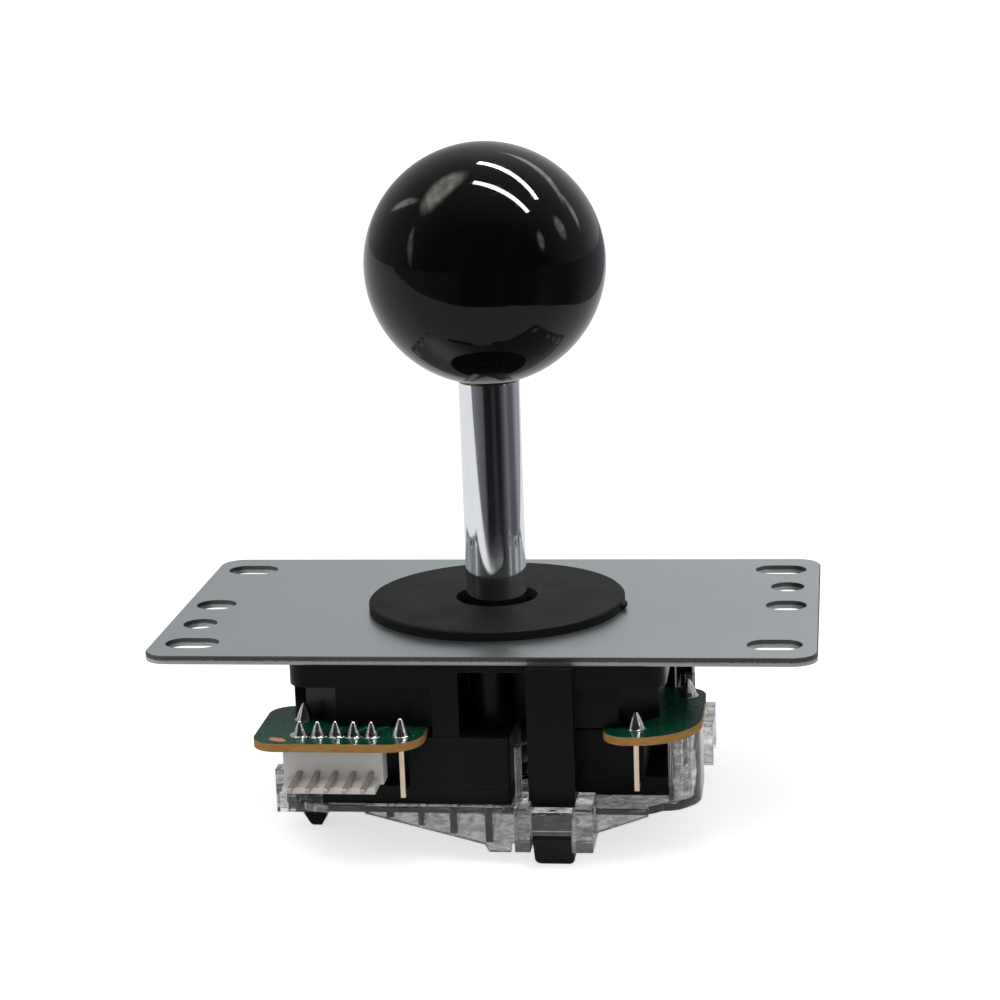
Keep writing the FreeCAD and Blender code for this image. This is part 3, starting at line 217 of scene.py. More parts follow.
def soft_card(name, middle, end, half_width, radiance, tint):
    """A glowing patch with soft ragged edges, from its middle to one end, facing the ball."""
    middle = Vector(middle)
    along = Vector(end) - middle
    back = (middle - Vector((0, 0, BALL_HEIGHT))).normalized()
    across = back.cross(along).normalized() * half_width
    card = mesh_piece(name, [middle - along - across, middle + along - across, middle + along + across,
                             middle - along + across], [(0, 1, 2, 3)])
    glow = bpy.data.materials.new(name)
    glow.use_nodes = True
    tree = glow.node_tree
    tree.nodes.clear()
    place = step(tree, "ShaderNodeTexCoord", {}).outputs["Object"]
    offset = step(tree, "ShaderNodeVectorMath", {0: place, 1: middle}, operation="SUBTRACT").outputs["Vector"]
    reach = None
    for axis in (along, across):
        share = step(tree, "ShaderNodeVectorMath", {0: offset, 1: axis / axis.length_squared}, operation="DOT_PRODUCT")
        squared = combined(tree, "MULTIPLY", share.outputs["Value"], share.outputs["Value"])
        reach = squared if reach is None else combined(tree, "ADD", reach, squared)
    stretched = step(tree, "ShaderNodeMapping", {"Vector": place, "Scale": (7.0, 3.0, 7.0)})
    ragged = step(tree, "ShaderNodeTexNoise", {"Vector": stretched.outputs[0], "Scale": 1.0, "Detail": 5.0})
    ragged = scaled(tree, ragged.outputs["Fac"], 0.30, 0.70, 0.35, 1.0)
    shape = scaled(tree, reach, 0.25, 1.0, 1.0, 0.0)
    strength = combined(tree, "MULTIPLY", combined(tree, "MULTIPLY", shape, ragged), radiance)
    light = step(tree, "ShaderNodeEmission", {"Color": (*tint, 1.0), "Strength": strength})
    open_air = step(tree, "ShaderNodeBsdfTransparent", {})
    mixed = step(tree, "ShaderNodeMixShader", {0: shape, 1: open_air.outputs[0], 2: light.outputs[0]})
    step(tree, "ShaderNodeOutputMaterial", {"Surface": mixed.outputs[0]})
    card.data.materials.append(glow)
    seen_in_gloss_only(card)


seen_in_gloss_only(surround)
WARM = (1.0, 0.95, 0.88)
soft_card("patch_left", (-0.747, 0.001, 1.366), (-1.26, -0.435, 1.10), 0.36, 9.0, WARM)
soft_card("streak_left", (-1.189, 0.400, 0.900), (-1.115, 0.023, 1.229), 0.10, 5.0, WARM)
soft_card("streak_low_left", (-1.359, -0.493, 0.500), (-1.393, -0.344, 0.98), 0.11, 3.0, WARM)
soft_card("arc_right", (0.62, 0.98, 1.01), (1.30, 0.606, 0.806), 0.11, 6.0, WARM)
soft_card("arc_low_right", (1.10, 0.79, 0.70), (1.316, 0.736, 0.34), 0.11, 5.0, WARM)
soft_card("patch_right", (1.299, -0.545, 0.609), (1.26, -0.49, 0.86), 0.11, 5.0, WARM)
soft_card("patch_far_right", (1.375, 0.134, 0.668), (1.32, 0.16, 0.96), 0.17, 5.0, WARM)


def hang_lamp(name, first_end, last_end, width, radiance, in_diffuse):
    """A flat lamp between two points, facing the ball."""
    first = Vector(first_end)
    last = Vector(last_end)
    middle = (first + last) / 2
    lamp = bpy.data.lights.new(name, "AREA")
    lamp.shape = "RECTANGLE"
    lamp.size = (last - first).length
    lamp.size_y = width
    lamp.energy = radiance * math.pi * lamp.size * lamp.size_y
    hung = bpy.data.objects.new(name, lamp)
    bpy.context.scene.collection.objects.link(hung)
    along = (last - first).normalized()
    back = (middle - Vector((0, 0, BALL_HEIGHT))).normalized()
    up = back.cross(along).normalized()
    back = along.cross(up).normalized()
    hung.matrix_world = Matrix.Translation(middle) @ Matrix((along, up, back)).transposed().to_4x4()
    hung.visible_camera = False
    hung.visible_diffuse = in_diffuse
    hung.visible_transmission = False
    return hung


STRIP_WIDTH = 0.10
STRIP_RADIANCE = 75.0
strips = [hang_lamp("strip_back", (-0.134, 0.655, 1.405), (0.986, 0.108, 1.193), STRIP_WIDTH, STRIP_RADIANCE,
                    False),
          hang_lamp("strip_front", (-0.148, -0.027, 1.557), (0.988, -0.355, 1.143), STRIP_WIDTH, STRIP_RADIANCE,
                    False)]
# The strips would burn the plate out from above, so it doesn't take them.
strips_miss = bpy.data.collections.new("strips_miss")
for name in ("mounting_plate", "plate_screws"):
    strips_miss.objects.link(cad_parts[name])
for entry in strips_miss.collection_objects:
    entry.light_linking.link_state = "EXCLUDE"
for strip in strips:
    strip.light_linking.receiver_collection = strips_miss
soft_key = hang_lamp("soft_key", (-0.9, -0.2, 1.3), (0.3, -0.9, 1.3), 0.8, 1.3, True)
soft_key.visible_glossy = False


# Body
# The black moulded body carries every other piece: its flange meets the plate, its tower holds the pivot's cup and
# its four clip posts reach through the gate. It is moulded in one shot of nylon with a fine spark-eroded grain.
def new_finish(name, metallic=0.0, **sockets):
    """A material with its tree and shader. Sockets that stay the same all over are set here."""
    made = bpy.data.materials.new(name)
    made.use_nodes = True
    shader = made.node_tree.nodes["Principled BSDF"]
    shader.inputs["Metallic"].default_value = metallic
    for key, value in sockets.items():
        shader.inputs[key.replace("_", " ")].default_value = value
    return made, made.node_tree, shader


def grain(tree, size, stretch=(1, 1, 1), detail=3.0, shift=0.0):
    """Noise from 0 to 1 over the piece's own coordinates. Size is that of one grain, in metres."""
    place = step(tree, "ShaderNodeTexCoord", {}).outputs["Object"]
    scale = [part / size for part in stretch]
    laid = step(tree, "ShaderNodeMapping", {"Vector": place, "Location": (shift, shift, shift), "Scale": scale})
    return step(tree, "ShaderNodeTexNoise", {"Vector": laid.outputs[0], "Scale": 1.0,
                                             "Detail": detail}).outputs["Fac"]


def eased_edges(tree, radius):
    """The normal over edges rounded by this radius."""
    return step(tree, "ShaderNodeBevel", {"Radius": radius}, samples=6).outputs["Normal"]


def rubbed(tree, radius, amount=0.35):
    """1 along the edges, where handling polishes them, and 0 on the flats."""
    rounded = eased_edges(tree, radius)
    flat = step(tree, "ShaderNodeNewGeometry", {}).outputs["Normal"]
    likeness = step(tree, "ShaderNodeVectorMath", {0: rounded, 1: flat}, operation="DOT_PRODUCT").outputs["Value"]
    return scaled(tree, likeness, 0.80, 0.995, amount, 0.0)


def relief(tree, height, depth, under):
    """Adds a height pattern of this depth, in metres, to the normal under it."""
    return step(tree, "ShaderNodeBump", {"Height": height, "Distance": depth, "Strength": 1.0,
                                         "Normal": under}).outputs["Normal"]


def finish_with(tree, shader, colour, roughness, normal):
    for socket, value in (("Base Color", colour), ("Roughness", roughness), ("Normal", normal)):
        tree.links.new(value, shader.inputs[socket])


def give(material, *names):
    """Puts a material on carried-over solids."""
    for name in names:
        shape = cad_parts[name].data
        shape.materials.clear()
        shape.materials.append(material)


def moulded_black(name, deep, worn, roughness, grain_size):
    """Black nylon: a grained skin, flow marks in broad clouds and paler rubbed edges."""
    made, tree, shader = new_finish(name, Specular_IOR_Level=0.11)
    clouds = grain(tree, 9 * MM, detail=4.0)
    specks = grain(tree, grain_size, detail=2.0, shift=3.0)
    skin = blend_colours(tree, scaled(tree, clouds, 0.35, 0.7, 0.0, 1.0), deep, [part * 1.5 for part in deep])
    skin = blend_colours(tree, rubbed(tree, 0.35 * MM), skin, worn)
    rough = combined(tree, "ADD", scaled(tree, clouds, 0.3, 0.7, roughness - 0.06, roughness + 0.06),
                     scaled(tree, specks, 0.3, 0.7, -0.05, 0.05))
    normal = relief(tree, specks, 0.010 * MM, eased_edges(tree, 0.22 * MM))
    finish_with(tree, shader, skin, rough, normal)
    return made


body_black = moulded_black("body_black_nylon", (0.0030, 0.0031, 0.0033), (0.016, 0.0165, 0.018), 0.34, 0.22 * MM)
give(body_black, "body_housing")


# Pivot
# The lever leans about a moulded acetal ball in the tower's cup. The spring washer under the cup is of the same
# off-white acetal, and both are smooth where they rub.
acetal, acetal_tree, acetal_shader = new_finish("acetal_natural", Subsurface_Weight=0.15, Subsurface_Scale=1.0 * MM)
acetal_clouds = grain(acetal_tree, 3 * MM)
acetal_lines = grain(acetal_tree, 0.12 * MM, (0.1, 0.1, 1.0), shift=5.0)
acetal_skin = blend_colours(acetal_tree, acetal_clouds, (0.72, 0.69, 0.60), (0.80, 0.78, 0.70))
acetal_skin = blend_colours(acetal_tree, rubbed(acetal_tree, 0.3 * MM, 0.5), acetal_skin, (0.60, 0.57, 0.50))
finish_with(acetal_tree, acetal_shader, acetal_skin, scaled(acetal_tree, acetal_lines, 0.3, 0.7, 0.28, 0.46),
            relief(acetal_tree, acetal_lines, 0.004 * MM, eased_edges(acetal_tree, 0.15 * MM)))
give(acetal, "pivot_ball", "spring_washer")


# Shaft and clip ring
# The shaft is turned steel, ground and chromed, so it is a mirror with very fine lines round it. The clip ring of
# spring steel snaps into its groove under the actuator.
chrome, chrome_tree, chrome_shader = new_finish("shaft_chrome_mirror", metallic=1.0)
chrome_lines = grain(chrome_tree, 0.10 * MM, (0.02, 0.02, 1.0), detail=2.0)
chrome_smears = grain(chrome_tree, 5 * MM, (1.0, 1.0, 0.35), detail=5.0, shift=2.0)
chrome_skin = blend_colours(chrome_tree, chrome_smears, (0.68, 0.70, 0.73), (0.83, 0.84, 0.85))
chrome_rough = combined(chrome_tree, "ADD", scaled(chrome_tree, chrome_smears, 0.4, 0.75, 0.035, 0.11),
                        scaled(chrome_tree, chrome_lines, 0.3, 0.7, 0.0, 0.03))
finish_with(chrome_tree, chrome_shader, chrome_skin, chrome_rough,
            relief(chrome_tree, chrome_lines, 0.0004 * MM, eased_edges(chrome_tree, 0.2 * MM)))
give(chrome, "shaft")


def drawn_steel(name, dark, light, roughness, line_size):
    """Hard drawn or rolled steel with fine lines, oil clouds and a bright worn edge."""
    made, tree, shader = new_finish(name, metallic=1.0)
    clouds = grain(tree, 2.5 * MM, detail=4.0)
    lines = grain(tree, line_size, (1.0, 1.0, 0.08), shift=4.0)
    skin = blend_colours(tree, clouds, dark, light)
    skin = blend_colours(tree, rubbed(tree, 0.12 * MM, 0.6), skin, (0.78, 0.78, 0.77))
    rough = scaled(tree, lines, 0.3, 0.7, roughness - 0.06, roughness + 0.08)
    finish_with(tree, shader, skin, rough, relief(tree, lines, 0.003 * MM, eased_edges(tree, 0.08 * MM)))
    return made


spring_steel = drawn_steel("spring_steel_drawn", (0.42, 0.42, 0.43), (0.58, 0.58, 0.59), 0.26, 0.06 * MM)
give(spring_steel, "e_ring")


# Return spring and actuator
# A wire spring sits between the spring washer and the actuator's pocket and brings the lever upright. Its tree
# makes it from its turns, its ends closed by flat turns. It is made in two halves, cut at a set height over the
# actuator's pocket.
SPRING_RADIUS = 4.57 * MM
SPRING_WIRE = 0.44 * MM
SPRING_TOP = -14.42 * MM
SPRING_BOTTOM = -20.58 * MM
SPRING_TURNS = 4.0
SPRING_CLOSED = 0.75


def spring_height(share):
    """Height of the wire's middle at a share of the way up: flat at both ends and even between."""
    turns = SPRING_TURNS + 2 * SPRING_CLOSED
    low = SPRING_BOTTOM + SPRING_WIRE
    high = SPRING_TOP - SPRING_WIRE
    pitch_flat = 2 * SPRING_WIRE * 1.02
    done = share * turns
    open_rise = (high - low - 2 * SPRING_CLOSED * pitch_flat) / SPRING_TURNS
    rise = min(done, SPRING_CLOSED) * pitch_flat
    rise += max(0.0, min(done - SPRING_CLOSED, SPRING_TURNS)) * open_rise
    rise += max(0.0, done - SPRING_CLOSED - SPRING_TURNS) * pitch_flat
    return low + rise


SPRING_STEPS = 144


def spring_curve(name, low_share, high_share):
    """The wire's middle line from one share of the way up to another."""
    line = bpy.data.curves.new(name, "CURVE")
    line.dimensions = "3D"
    run = line.splines.new("POLY")
    run.points.add(SPRING_STEPS)
    for n in range(SPRING_STEPS + 1):
        share = low_share + (high_share - low_share) * n / SPRING_STEPS
        turn = 2 * math.pi * share * (SPRING_TURNS + 2 * SPRING_CLOSED)
        run.points[n].co = (SPRING_RADIUS * math.cos(turn), SPRING_RADIUS * math.sin(turn), spring_height(share), 1.0)
    wound = bpy.data.objects.new(name, line)
    bpy.context.scene.collection.objects.link(wound)
    return wound


def geometry_tree(name, sizes, finish):
    """A tree with named inputs for its sizes. It ends in Realize Instances and Set Material."""
    tree = bpy.data.node_groups.new(name, "GeometryNodeTree")
    tree.interface.new_socket("Geometry", in_out="INPUT", socket_type="NodeSocketGeometry")
    sockets = {}
    for size in sizes:
        kind = "NodeSocketInt" if isinstance(sizes[size], int) else "NodeSocketFloat"
        sockets[size] = tree.interface.new_socket(size, in_out="INPUT", socket_type=kind).identifier
    tree.interface.new_socket("Geometry", in_out="OUTPUT", socket_type="NodeSocketGeometry")
    start = tree.nodes.new("NodeGroupInput")
    realized = tree.nodes.new("GeometryNodeRealizeInstances")
    coated = step(tree, "GeometryNodeSetMaterial", {"Geometry": realized.outputs[0], "Material": finish})
    end = tree.nodes.new("NodeGroupOutput")
    tree.links.new(coated.outputs[0], end.inputs[0])
    return tree, start, realized, sockets


def made_by(tree, sockets, sizes, source, name):
    """Runs a tree on a source object and returns its plain mesh as a new piece."""
    run = source.modifiers.new(name, "NODES")
    run.node_group = tree
    for size, value in sizes.items():
        run[sockets[size]] = value
    bpy.context.view_layer.update()
    seen = source.evaluated_get(bpy.context.evaluated_depsgraph_get())
    shape = bpy.data.meshes.new_from_object(seen)
    shape.name = name
    source.modifiers.remove(run)
    bpy.data.objects.remove(source)
    piece = bpy.data.objects.new(name, shape)
    bpy.context.scene.collection.objects.link(piece)
    return piece


spring_sizes = {"Wire radius": SPRING_WIRE, "Wire faces": 12}
spring_tree, spring_start, spring_end, spring_sockets = geometry_tree("wound_spring", spring_sizes, spring_steel)
wire_ring = step(spring_tree, "GeometryNodeCurvePrimitiveCircle",
                 {"Resolution": spring_start.outputs["Wire faces"], "Radius": spring_start.outputs["Wire radius"]})
wire_swept = step(spring_tree, "GeometryNodeCurveToMesh",
                  {"Curve": spring_start.outputs["Geometry"], "Profile Curve": wire_ring.outputs[0],
                   "Fill Caps": True})
wire_smooth = step(spring_tree, "GeometryNodeSetShadeSmooth", {"Geometry": wire_swept.outputs[0]})
spring_tree.links.new(wire_smooth.outputs[0], spring_end.inputs[0])
SPRING_BEND = -15.40 * MM
BEND_REACH = 0.60 * MM
bend_share = next(n / 1000 for n in range(1000) if spring_height(n / 1000) >= SPRING_BEND)
for half, shares, bodies, ends in (
        ("upper", (bend_share, 1.0), ("base", "spring"), (SPRING_BEND + BEND_REACH, SPRING_BEND)),
        ("lower", (0.0, bend_share), ("spring", "rocker"), (SPRING_BEND, SPRING_BEND - BEND_REACH))):
    wire_line = spring_curve("spring_line_" + half, *shares)
    spring = made_by(spring_tree, spring_sockets, spring_sizes, wire_line, "return_spring_" + half)
    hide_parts("return_spring")
    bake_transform(spring)

actuator_black = moulded_black("actuator_black_acetal", (0.006, 0.006, 0.0065), (0.03, 0.03, 0.031), 0.26, 0.30 * MM)
give(actuator_black, "actuator")


# Circuit board
# A fibreglass board with green mask on both faces and bare tan edges, held under the body with an ear beyond each
# switch. Its copper tracks stand just proud under the mask, and thirteen solder cones rise from it.
BOARD_TOP = -10.6 * MM
BOARD_UNDER = -11.8 * MM

mask, mask_tree, mask_shader = new_finish("board_green_mask", Specular_IOR_Level=0.12)
mask_weave_x = grain(mask_tree, 0.5 * MM, (1.0, 0.06, 1.0), detail=1.0)
mask_weave_y = grain(mask_tree, 0.5 * MM, (0.06, 1.0, 1.0), detail=1.0, shift=7.0)
mask_weave = combined(mask_tree, "ADD", mask_weave_x, mask_weave_y)
mask_clouds = grain(mask_tree, 7 * MM, detail=4.0)
mask_green = blend_colours(mask_tree, mask_clouds, (0.0010, 0.038, 0.018), (0.0030, 0.082, 0.038))
mask_green = blend_colours(mask_tree, scaled(mask_tree, mask_weave, 0.8, 1.2, 0.0, 0.25), mask_green,
                           (0.018, 0.120, 0.070))
mask_facing = step(mask_tree, "ShaderNodeNewGeometry", {}).outputs["Normal"]
mask_upright = step(mask_tree, "ShaderNodeSeparateXYZ", {"Vector": mask_facing}).outputs["Z"]
mask_upright = step(mask_tree, "ShaderNodeMath", {0: mask_upright}, operation="ABSOLUTE").outputs[0]
mask_is_edge = scaled(mask_tree, mask_upright, 0.5, 0.7, 1.0, 0.0)
mask_layers = grain(mask_tree, 0.22 * MM, (0.15, 0.15, 1.0), detail=2.0, shift=1.0)
mask_tan = blend_colours(mask_tree, mask_layers, (0.26, 0.125, 0.032), (0.56, 0.32, 0.11))
mask_skin = blend_colours(mask_tree, mask_is_edge, mask_green, mask_tan)
mask_rough = combined(mask_tree, "ADD", scaled(mask_tree, mask_is_edge, 0.0, 1.0, 0.25, 0.66),
                      scaled(mask_tree, mask_clouds, 0.3, 0.7, -0.05, 0.05))
finish_with(mask_tree, mask_shader, mask_skin, mask_rough,
            relief(mask_tree, mask_weave, 0.004 * MM, eased_edges(mask_tree, 0.06 * MM)))
give(mask, "circuit_board")


def quarter_turns(points, turns):
    """Points turned by whole quarters round the lever's axis, as the board's ears and switches are."""
    turned = []
    for x, y, *rest in points:
        for _ in range(turns):
            x, y = -y, x
        turned.append((x, y, *rest))
    return turned


track_mask, track_tree, track_shader = new_finish("track_green_mask", Specular_IOR_Level=0.16)
track_clouds = grain(track_tree, 3 * MM)
finish_with(track_tree, track_shader,
            blend_colours(track_tree, track_clouds, (0.012, 0.105, 0.055), (0.028, 0.165, 0.090)),
            scaled(track_tree, track_clouds, 0.3, 0.7, 0.2, 0.3),
            relief(track_tree, track_clouds, 0.004 * MM, eased_edges(track_tree, 0.02 * MM)))

TRACK_ROUTES = [
    [(-25.1, -22.8), (-26.9, -24.6), (-26.9, -27.2), (-25.6, -28.4)],
    [(-10.2, -28.3), (-10.2, -29.6), (-12.2, -30.3), (-14.0, -30.3)],
    [(-14.5, -15.0), (-14.5, -18.8), (-12.4, -21.0), (-12.4, -24.6), (-10.9, -26.4)],
]
TOP_ROUTES = [
    [(-10.2, -28.3), (-10.2, -25.0), (-9.0, -23.8)],
    [(-14.3, -29.2), (-14.3, -26.9), (-12.7, -25.3), (-12.7, -23.6)],
    [(-16.8, -29.2), (-16.8, -27.1), (-15.4, -25.7)],
    [(-19.3, -29.2), (-19.3, -26.0)],
    [(-21.9, -29.2), (-21.9, -26.4)],
    [(-24.4, -29.2), (-25.1, -28.4), (-25.1, -23.4)],
]
track_lines = bpy.data.curves.new("board_track_lines", "CURVE")
track_lines.dimensions = "3D"
laid_routes = [(route, 0, BOARD_TOP) for route in TOP_ROUTES]
for turns in range(4):
    laid_routes += [(route, turns, BOARD_UNDER) for route in TRACK_ROUTES]
for route, turns, z in laid_routes:
    run = track_lines.splines.new("POLY")
    corners = quarter_turns(route, turns)
    run.points.add(len(corners) - 1)
    for point, (x, y) in zip(run.points, corners):
        point.co = (x * MM, y * MM, z, 1.0)
track_object = bpy.data.objects.new("board_track_lines", track_lines)
bpy.context.scene.collection.objects.link(track_object)

track_sizes = {"Track width": 0.7 * MM, "Track height": 0.07 * MM}
tracks_tree, tracks_start, tracks_end, tracks_sockets = geometry_tree("board_tracks", track_sizes, track_mask)
track_profile = step(tracks_tree, "GeometryNodeCurvePrimitiveQuadrilateral",
                     {"Width": tracks_start.outputs["Track width"], "Height": tracks_start.outputs["Track height"]})
track_rounded = step(tracks_tree, "GeometryNodeFilletCurve",
                     {"Curve": tracks_start.outputs["Geometry"], "Radius": 0.6 * MM, "Count": 4}, mode="POLY")
track_level = step(tracks_tree, "GeometryNodeSetCurveNormal", {"Curve": track_rounded.outputs[0]}, mode="Z_UP")
track_swept = step(tracks_tree, "GeometryNodeCurveToMesh",
                   {"Curve": track_level.outputs[0], "Profile Curve": track_profile.outputs[0], "Fill Caps": True})
tracks_tree.links.new(track_swept.outputs[0], tracks_end.inputs[0])
tracks = made_by(tracks_tree, tracks_sockets, track_sizes, track_object, "board_tracks")
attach(tracks, "base")

solder, solder_tree, solder_shader = new_finish("solder_bright", metallic=1.0)
solder_crystals = grain(solder_tree, 0.45 * MM, detail=3.0)
solder_clouds = grain(solder_tree, 1.4 * MM, shift=6.0)
finish_with(solder_tree, solder_shader,
            blend_colours(solder_tree, solder_clouds, (0.66, 0.66, 0.67), (0.90, 0.90, 0.89)),
            scaled(solder_tree, solder_crystals, 0.3, 0.7, 0.09, 0.26),
            relief(solder_tree, solder_crystals, 0.008 * MM, eased_edges(solder_tree, 0.12 * MM)))
give(solder, "solder_joints")

TERMINAL_CONES = [(-10.2, -28.8), (-25.1, -22.3)]
PIN_CONES = [(-14.3, -29.2), (-16.8, -29.2), (-19.3, -29.2), (-21.9, -29.2), (-24.4, -29.2)]
cone_feet = [foot for turns in range(4) for foot in quarter_turns(TERMINAL_CONES, turns)] + PIN_CONES
pad_points = mesh_piece("solder_pad_points", [(x * MM, y * MM, BOARD_TOP) for x, y in cone_feet], [])
pad_sizes = {"Pad radius": 1.45 * MM, "Pad height": 0.16 * MM, "Pad sides": 28}
pads_tree, pads_start, pads_end, pads_sockets = geometry_tree("solder_pads", pad_sizes, solder)
pad_disc = step(pads_tree, "GeometryNodeMeshCylinder",
                {"Vertices": pads_start.outputs["Pad sides"], "Radius": pads_start.outputs["Pad radius"],
                 "Depth": pads_start.outputs["Pad height"]})
pad_set = step(pads_tree, "GeometryNodeInstanceOnPoints",
               {"Points": pads_start.outputs["Geometry"], "Instance": pad_disc.outputs["Mesh"]})
pads_tree.links.new(pad_set.outputs[0], pads_end.inputs[0])
pads = made_by(pads_tree, pads_sockets, pad_sizes, pad_points, "solder_pads")
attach(pads, "base")

COPPER_OUTLINE = [(-28.6, -30.9), (-28.1, -30.4), (-26.7, -30.7), (-25.9, -31.6), (-26.0, -32.1), (-26.8, -32.2),
                  (-28.1, -31.7)]
COPPER_RISE = 0.04 * MM
copper_count = len(COPPER_OUTLINE)
copper_mark = mesh_piece(
    "bare_copper_mark",
    [(x * MM, y * MM, BOARD_TOP + rise) for rise in (-COPPER_RISE, COPPER_RISE) for x, y in COPPER_OUTLINE],
    [tuple(range(copper_count)), tuple(range(2 * copper_count - 1, copper_count - 1, -1))]
    + [(n, n + copper_count, (n + 1) % copper_count + copper_count, (n + 1) % copper_count)
       for n in range(copper_count)])
copper, copper_tree, copper_shader = new_finish("copper_bare", metallic=0.6)
copper_clouds = grain(copper_tree, 0.5 * MM, detail=4.0)
finish_with(copper_tree, copper_shader,
            blend_colours(copper_tree, copper_clouds, (0.55, 0.18, 0.11), (0.80, 0.36, 0.24)),
            scaled(copper_tree, copper_clouds, 0.3, 0.7, 0.35, 0.55),
            relief(copper_tree, copper_clouds, 0.01 * MM, eased_edges(copper_tree, 0.03 * MM)))
copper_mark.data.materials.append(copper)
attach(copper_mark, "base")


# Switches
# Four closed switches stand round the actuator, each a black case and cover of glass-filled nylon welded at a seam,
# with a steel lever, a white plunger and two tinned brass blades that rise through the board.
SIDES = ["front", "right", "rear", "left"]

switch_black = moulded_black("switch_black_nylon", (0.0055, 0.0055, 0.006), (0.026, 0.026, 0.028), 0.46, 0.16 * MM)
cover_black = moulded_black("switch_cover_black", (0.0062, 0.0062, 0.0066), (0.028, 0.028, 0.03), 0.52, 0.19 * MM)
lever_steel = drawn_steel("switch_lever_steel", (0.55, 0.54, 0.52), (0.70, 0.69, 0.66), 0.24, 0.08 * MM)

nylon, nylon_tree, nylon_shader = new_finish("plunger_white_nylon", Subsurface_Weight=0.1, Subsurface_Scale=0.6 * MM)
nylon_clouds = grain(nylon_tree, 0.8 * MM, detail=4.0)
finish_with(nylon_tree, nylon_shader, blend_colours(nylon_tree, nylon_clouds, (0.76, 0.76, 0.72), (0.85, 0.85, 0.82)),
            scaled(nylon_tree, nylon_clouds, 0.3, 0.7, 0.34, 0.46),
            relief(nylon_tree, nylon_clouds, 0.006 * MM, eased_edges(nylon_tree, 0.1 * MM)))

tinned, tinned_tree, tinned_shader = new_finish("terminal_tinned_brass", metallic=1.0)
tinned_lines = grain(tinned_tree, 0.10 * MM, (1.0, 1.0, 0.05), shift=2.0)
tinned_clouds = grain(tinned_tree, 2.2 * MM, detail=5.0)
tinned_skin = blend_colours(tinned_tree, tinned_clouds, (0.56, 0.44, 0.31), (0.82, 0.70, 0.54))
tinned_skin = blend_colours(tinned_tree, rubbed(tinned_tree, 0.1 * MM, 0.5), tinned_skin, (0.66, 0.46, 0.24))
finish_with(tinned_tree, tinned_shader, tinned_skin, scaled(tinned_tree, tinned_lines, 0.3, 0.7, 0.24, 0.42),
            relief(tinned_tree, tinned_lines, 0.004 * MM, eased_edges(tinned_tree, 0.08 * MM)))

for side in SIDES:
    give(switch_black, "switch_case_" + side)
    give(cover_black, "switch_cover_" + side)
    give(lever_steel, "switch_lever_" + side)
    give(nylon, "switch_plunger_" + side)
    give(tinned, "switch_terminals_" + side)


# Cable header
# A white nylon block under the board's front ear holds five square tinned pins, which turn forward over its shelf.
header_white, header_tree, header_shader = new_finish("header_white_nylon", Subsurface_Weight=0.08,
                                                      Subsurface_Scale=0.5 * MM)
header_clouds = grain(header_tree, 4 * MM, detail=4.0)
header_grain = grain(header_tree, 0.15 * MM, shift=2.0)
header_skin = blend_colours(header_tree, header_clouds, (0.70, 0.69, 0.66), (0.80, 0.78, 0.75))
finish_with(header_tree, header_shader, header_skin, scaled(header_tree, header_grain, 0.3, 0.7, 0.32, 0.48),
            relief(header_tree, header_grain, 0.006 * MM, eased_edges(header_tree, 0.14 * MM)))
give(header_white, "header_housing")

pin_tin, pin_tree, pin_shader = new_finish("pin_tinned", metallic=1.0)
pin_lines = grain(pin_tree, 0.10 * MM, (1.0, 0.05, 1.0), shift=2.0)
pin_clouds = grain(pin_tree, 1.2 * MM, detail=5.0)
pin_skin = blend_colours(pin_tree, pin_clouds, (0.34, 0.28, 0.24), (0.56, 0.48, 0.42))
pin_skin = blend_colours(pin_tree, rubbed(pin_tree, 0.1 * MM, 0.6), pin_skin, (0.62, 0.40, 0.24))
finish_with(pin_tree, pin_shader, pin_skin, scaled(pin_tree, pin_lines, 0.3, 0.7, 0.26, 0.44),
            relief(pin_tree, pin_lines, 0.004 * MM, eased_edges(pin_tree, 0.08 * MM)))
give(pin_tin, "header_pins")


# Gate
# The clear gate is moulded polycarbonate. It takes the body's clips in its brackets, closes the bottom with a dished
# hub, and holds the disc whose square hole limits the lean. Its sawn sprue and thin edges look a little frosted.
# Its colour runs in grey to white streaks, which are painted reflection.
clear, clear_tree, clear_shader = new_finish("gate_clear_polycarbonate", Transmission_Weight=1.0, IOR=1.58)
clear_place = step(clear_tree, "ShaderNodeTexCoord", {}).outputs["Object"]
clear_laid = step(clear_tree, "ShaderNodeMapping", {"Vector": clear_place, "Scale": (420.0, 420.0, 900.0)})
clear_flow_and_reflection_streaks = step(clear_tree, "ShaderNodeTexNoise", {"Vector": clear_laid.outputs[0], "Scale": 1.0, "Detail": 4.0,
                                                     "Distortion": 1.6}).outputs["Fac"]
clear_waves = grain(clear_tree, 2.4 * MM, detail=2.0, shift=5.0)
clear_scuffs = grain(clear_tree, 0.5 * MM, (1.0, 0.15, 1.0), detail=4.0, shift=3.0)
# The see-through colour runs in streaks from dark grey to near white. These streaks are painted dark and bright
# reflections.
clear_tint_with_painted_reflections = blend_colours(clear_tree, scaled(clear_tree, clear_flow_and_reflection_streaks, 0.36, 0.62, 0.0, 1.0), (0.34, 0.345, 0.35),
                           (0.90, 0.905, 0.91))
clear_rough = combined(clear_tree, "ADD", scaled(clear_tree, clear_scuffs, 0.45, 0.8, 0.02, 0.10),
                       scaled(clear_tree, clear_flow_and_reflection_streaks, 0.5, 0.8, 0.0, 0.10))
finish_with(clear_tree, clear_shader, clear_tint_with_painted_reflections, clear_rough,
            relief(clear_tree, clear_waves, 0.10 * MM, eased_edges(clear_tree, 0.25 * MM)))
give(clear, "gate_frame", "gate_disc")


# Mounting plate and its screws
# The plate is 1.2 mm sheet steel, blanked and zinc plated, with slots and holes for the panel's bolts at its ends.
# Its cut edge is bright below, where the punch entered, and torn above. The dark colour above, which is also laid over
# the rounded top rim, is painted shade in place of the rim's highlight. Four countersunk screws hold it.
PLATE_THICK = 1.2 * MM

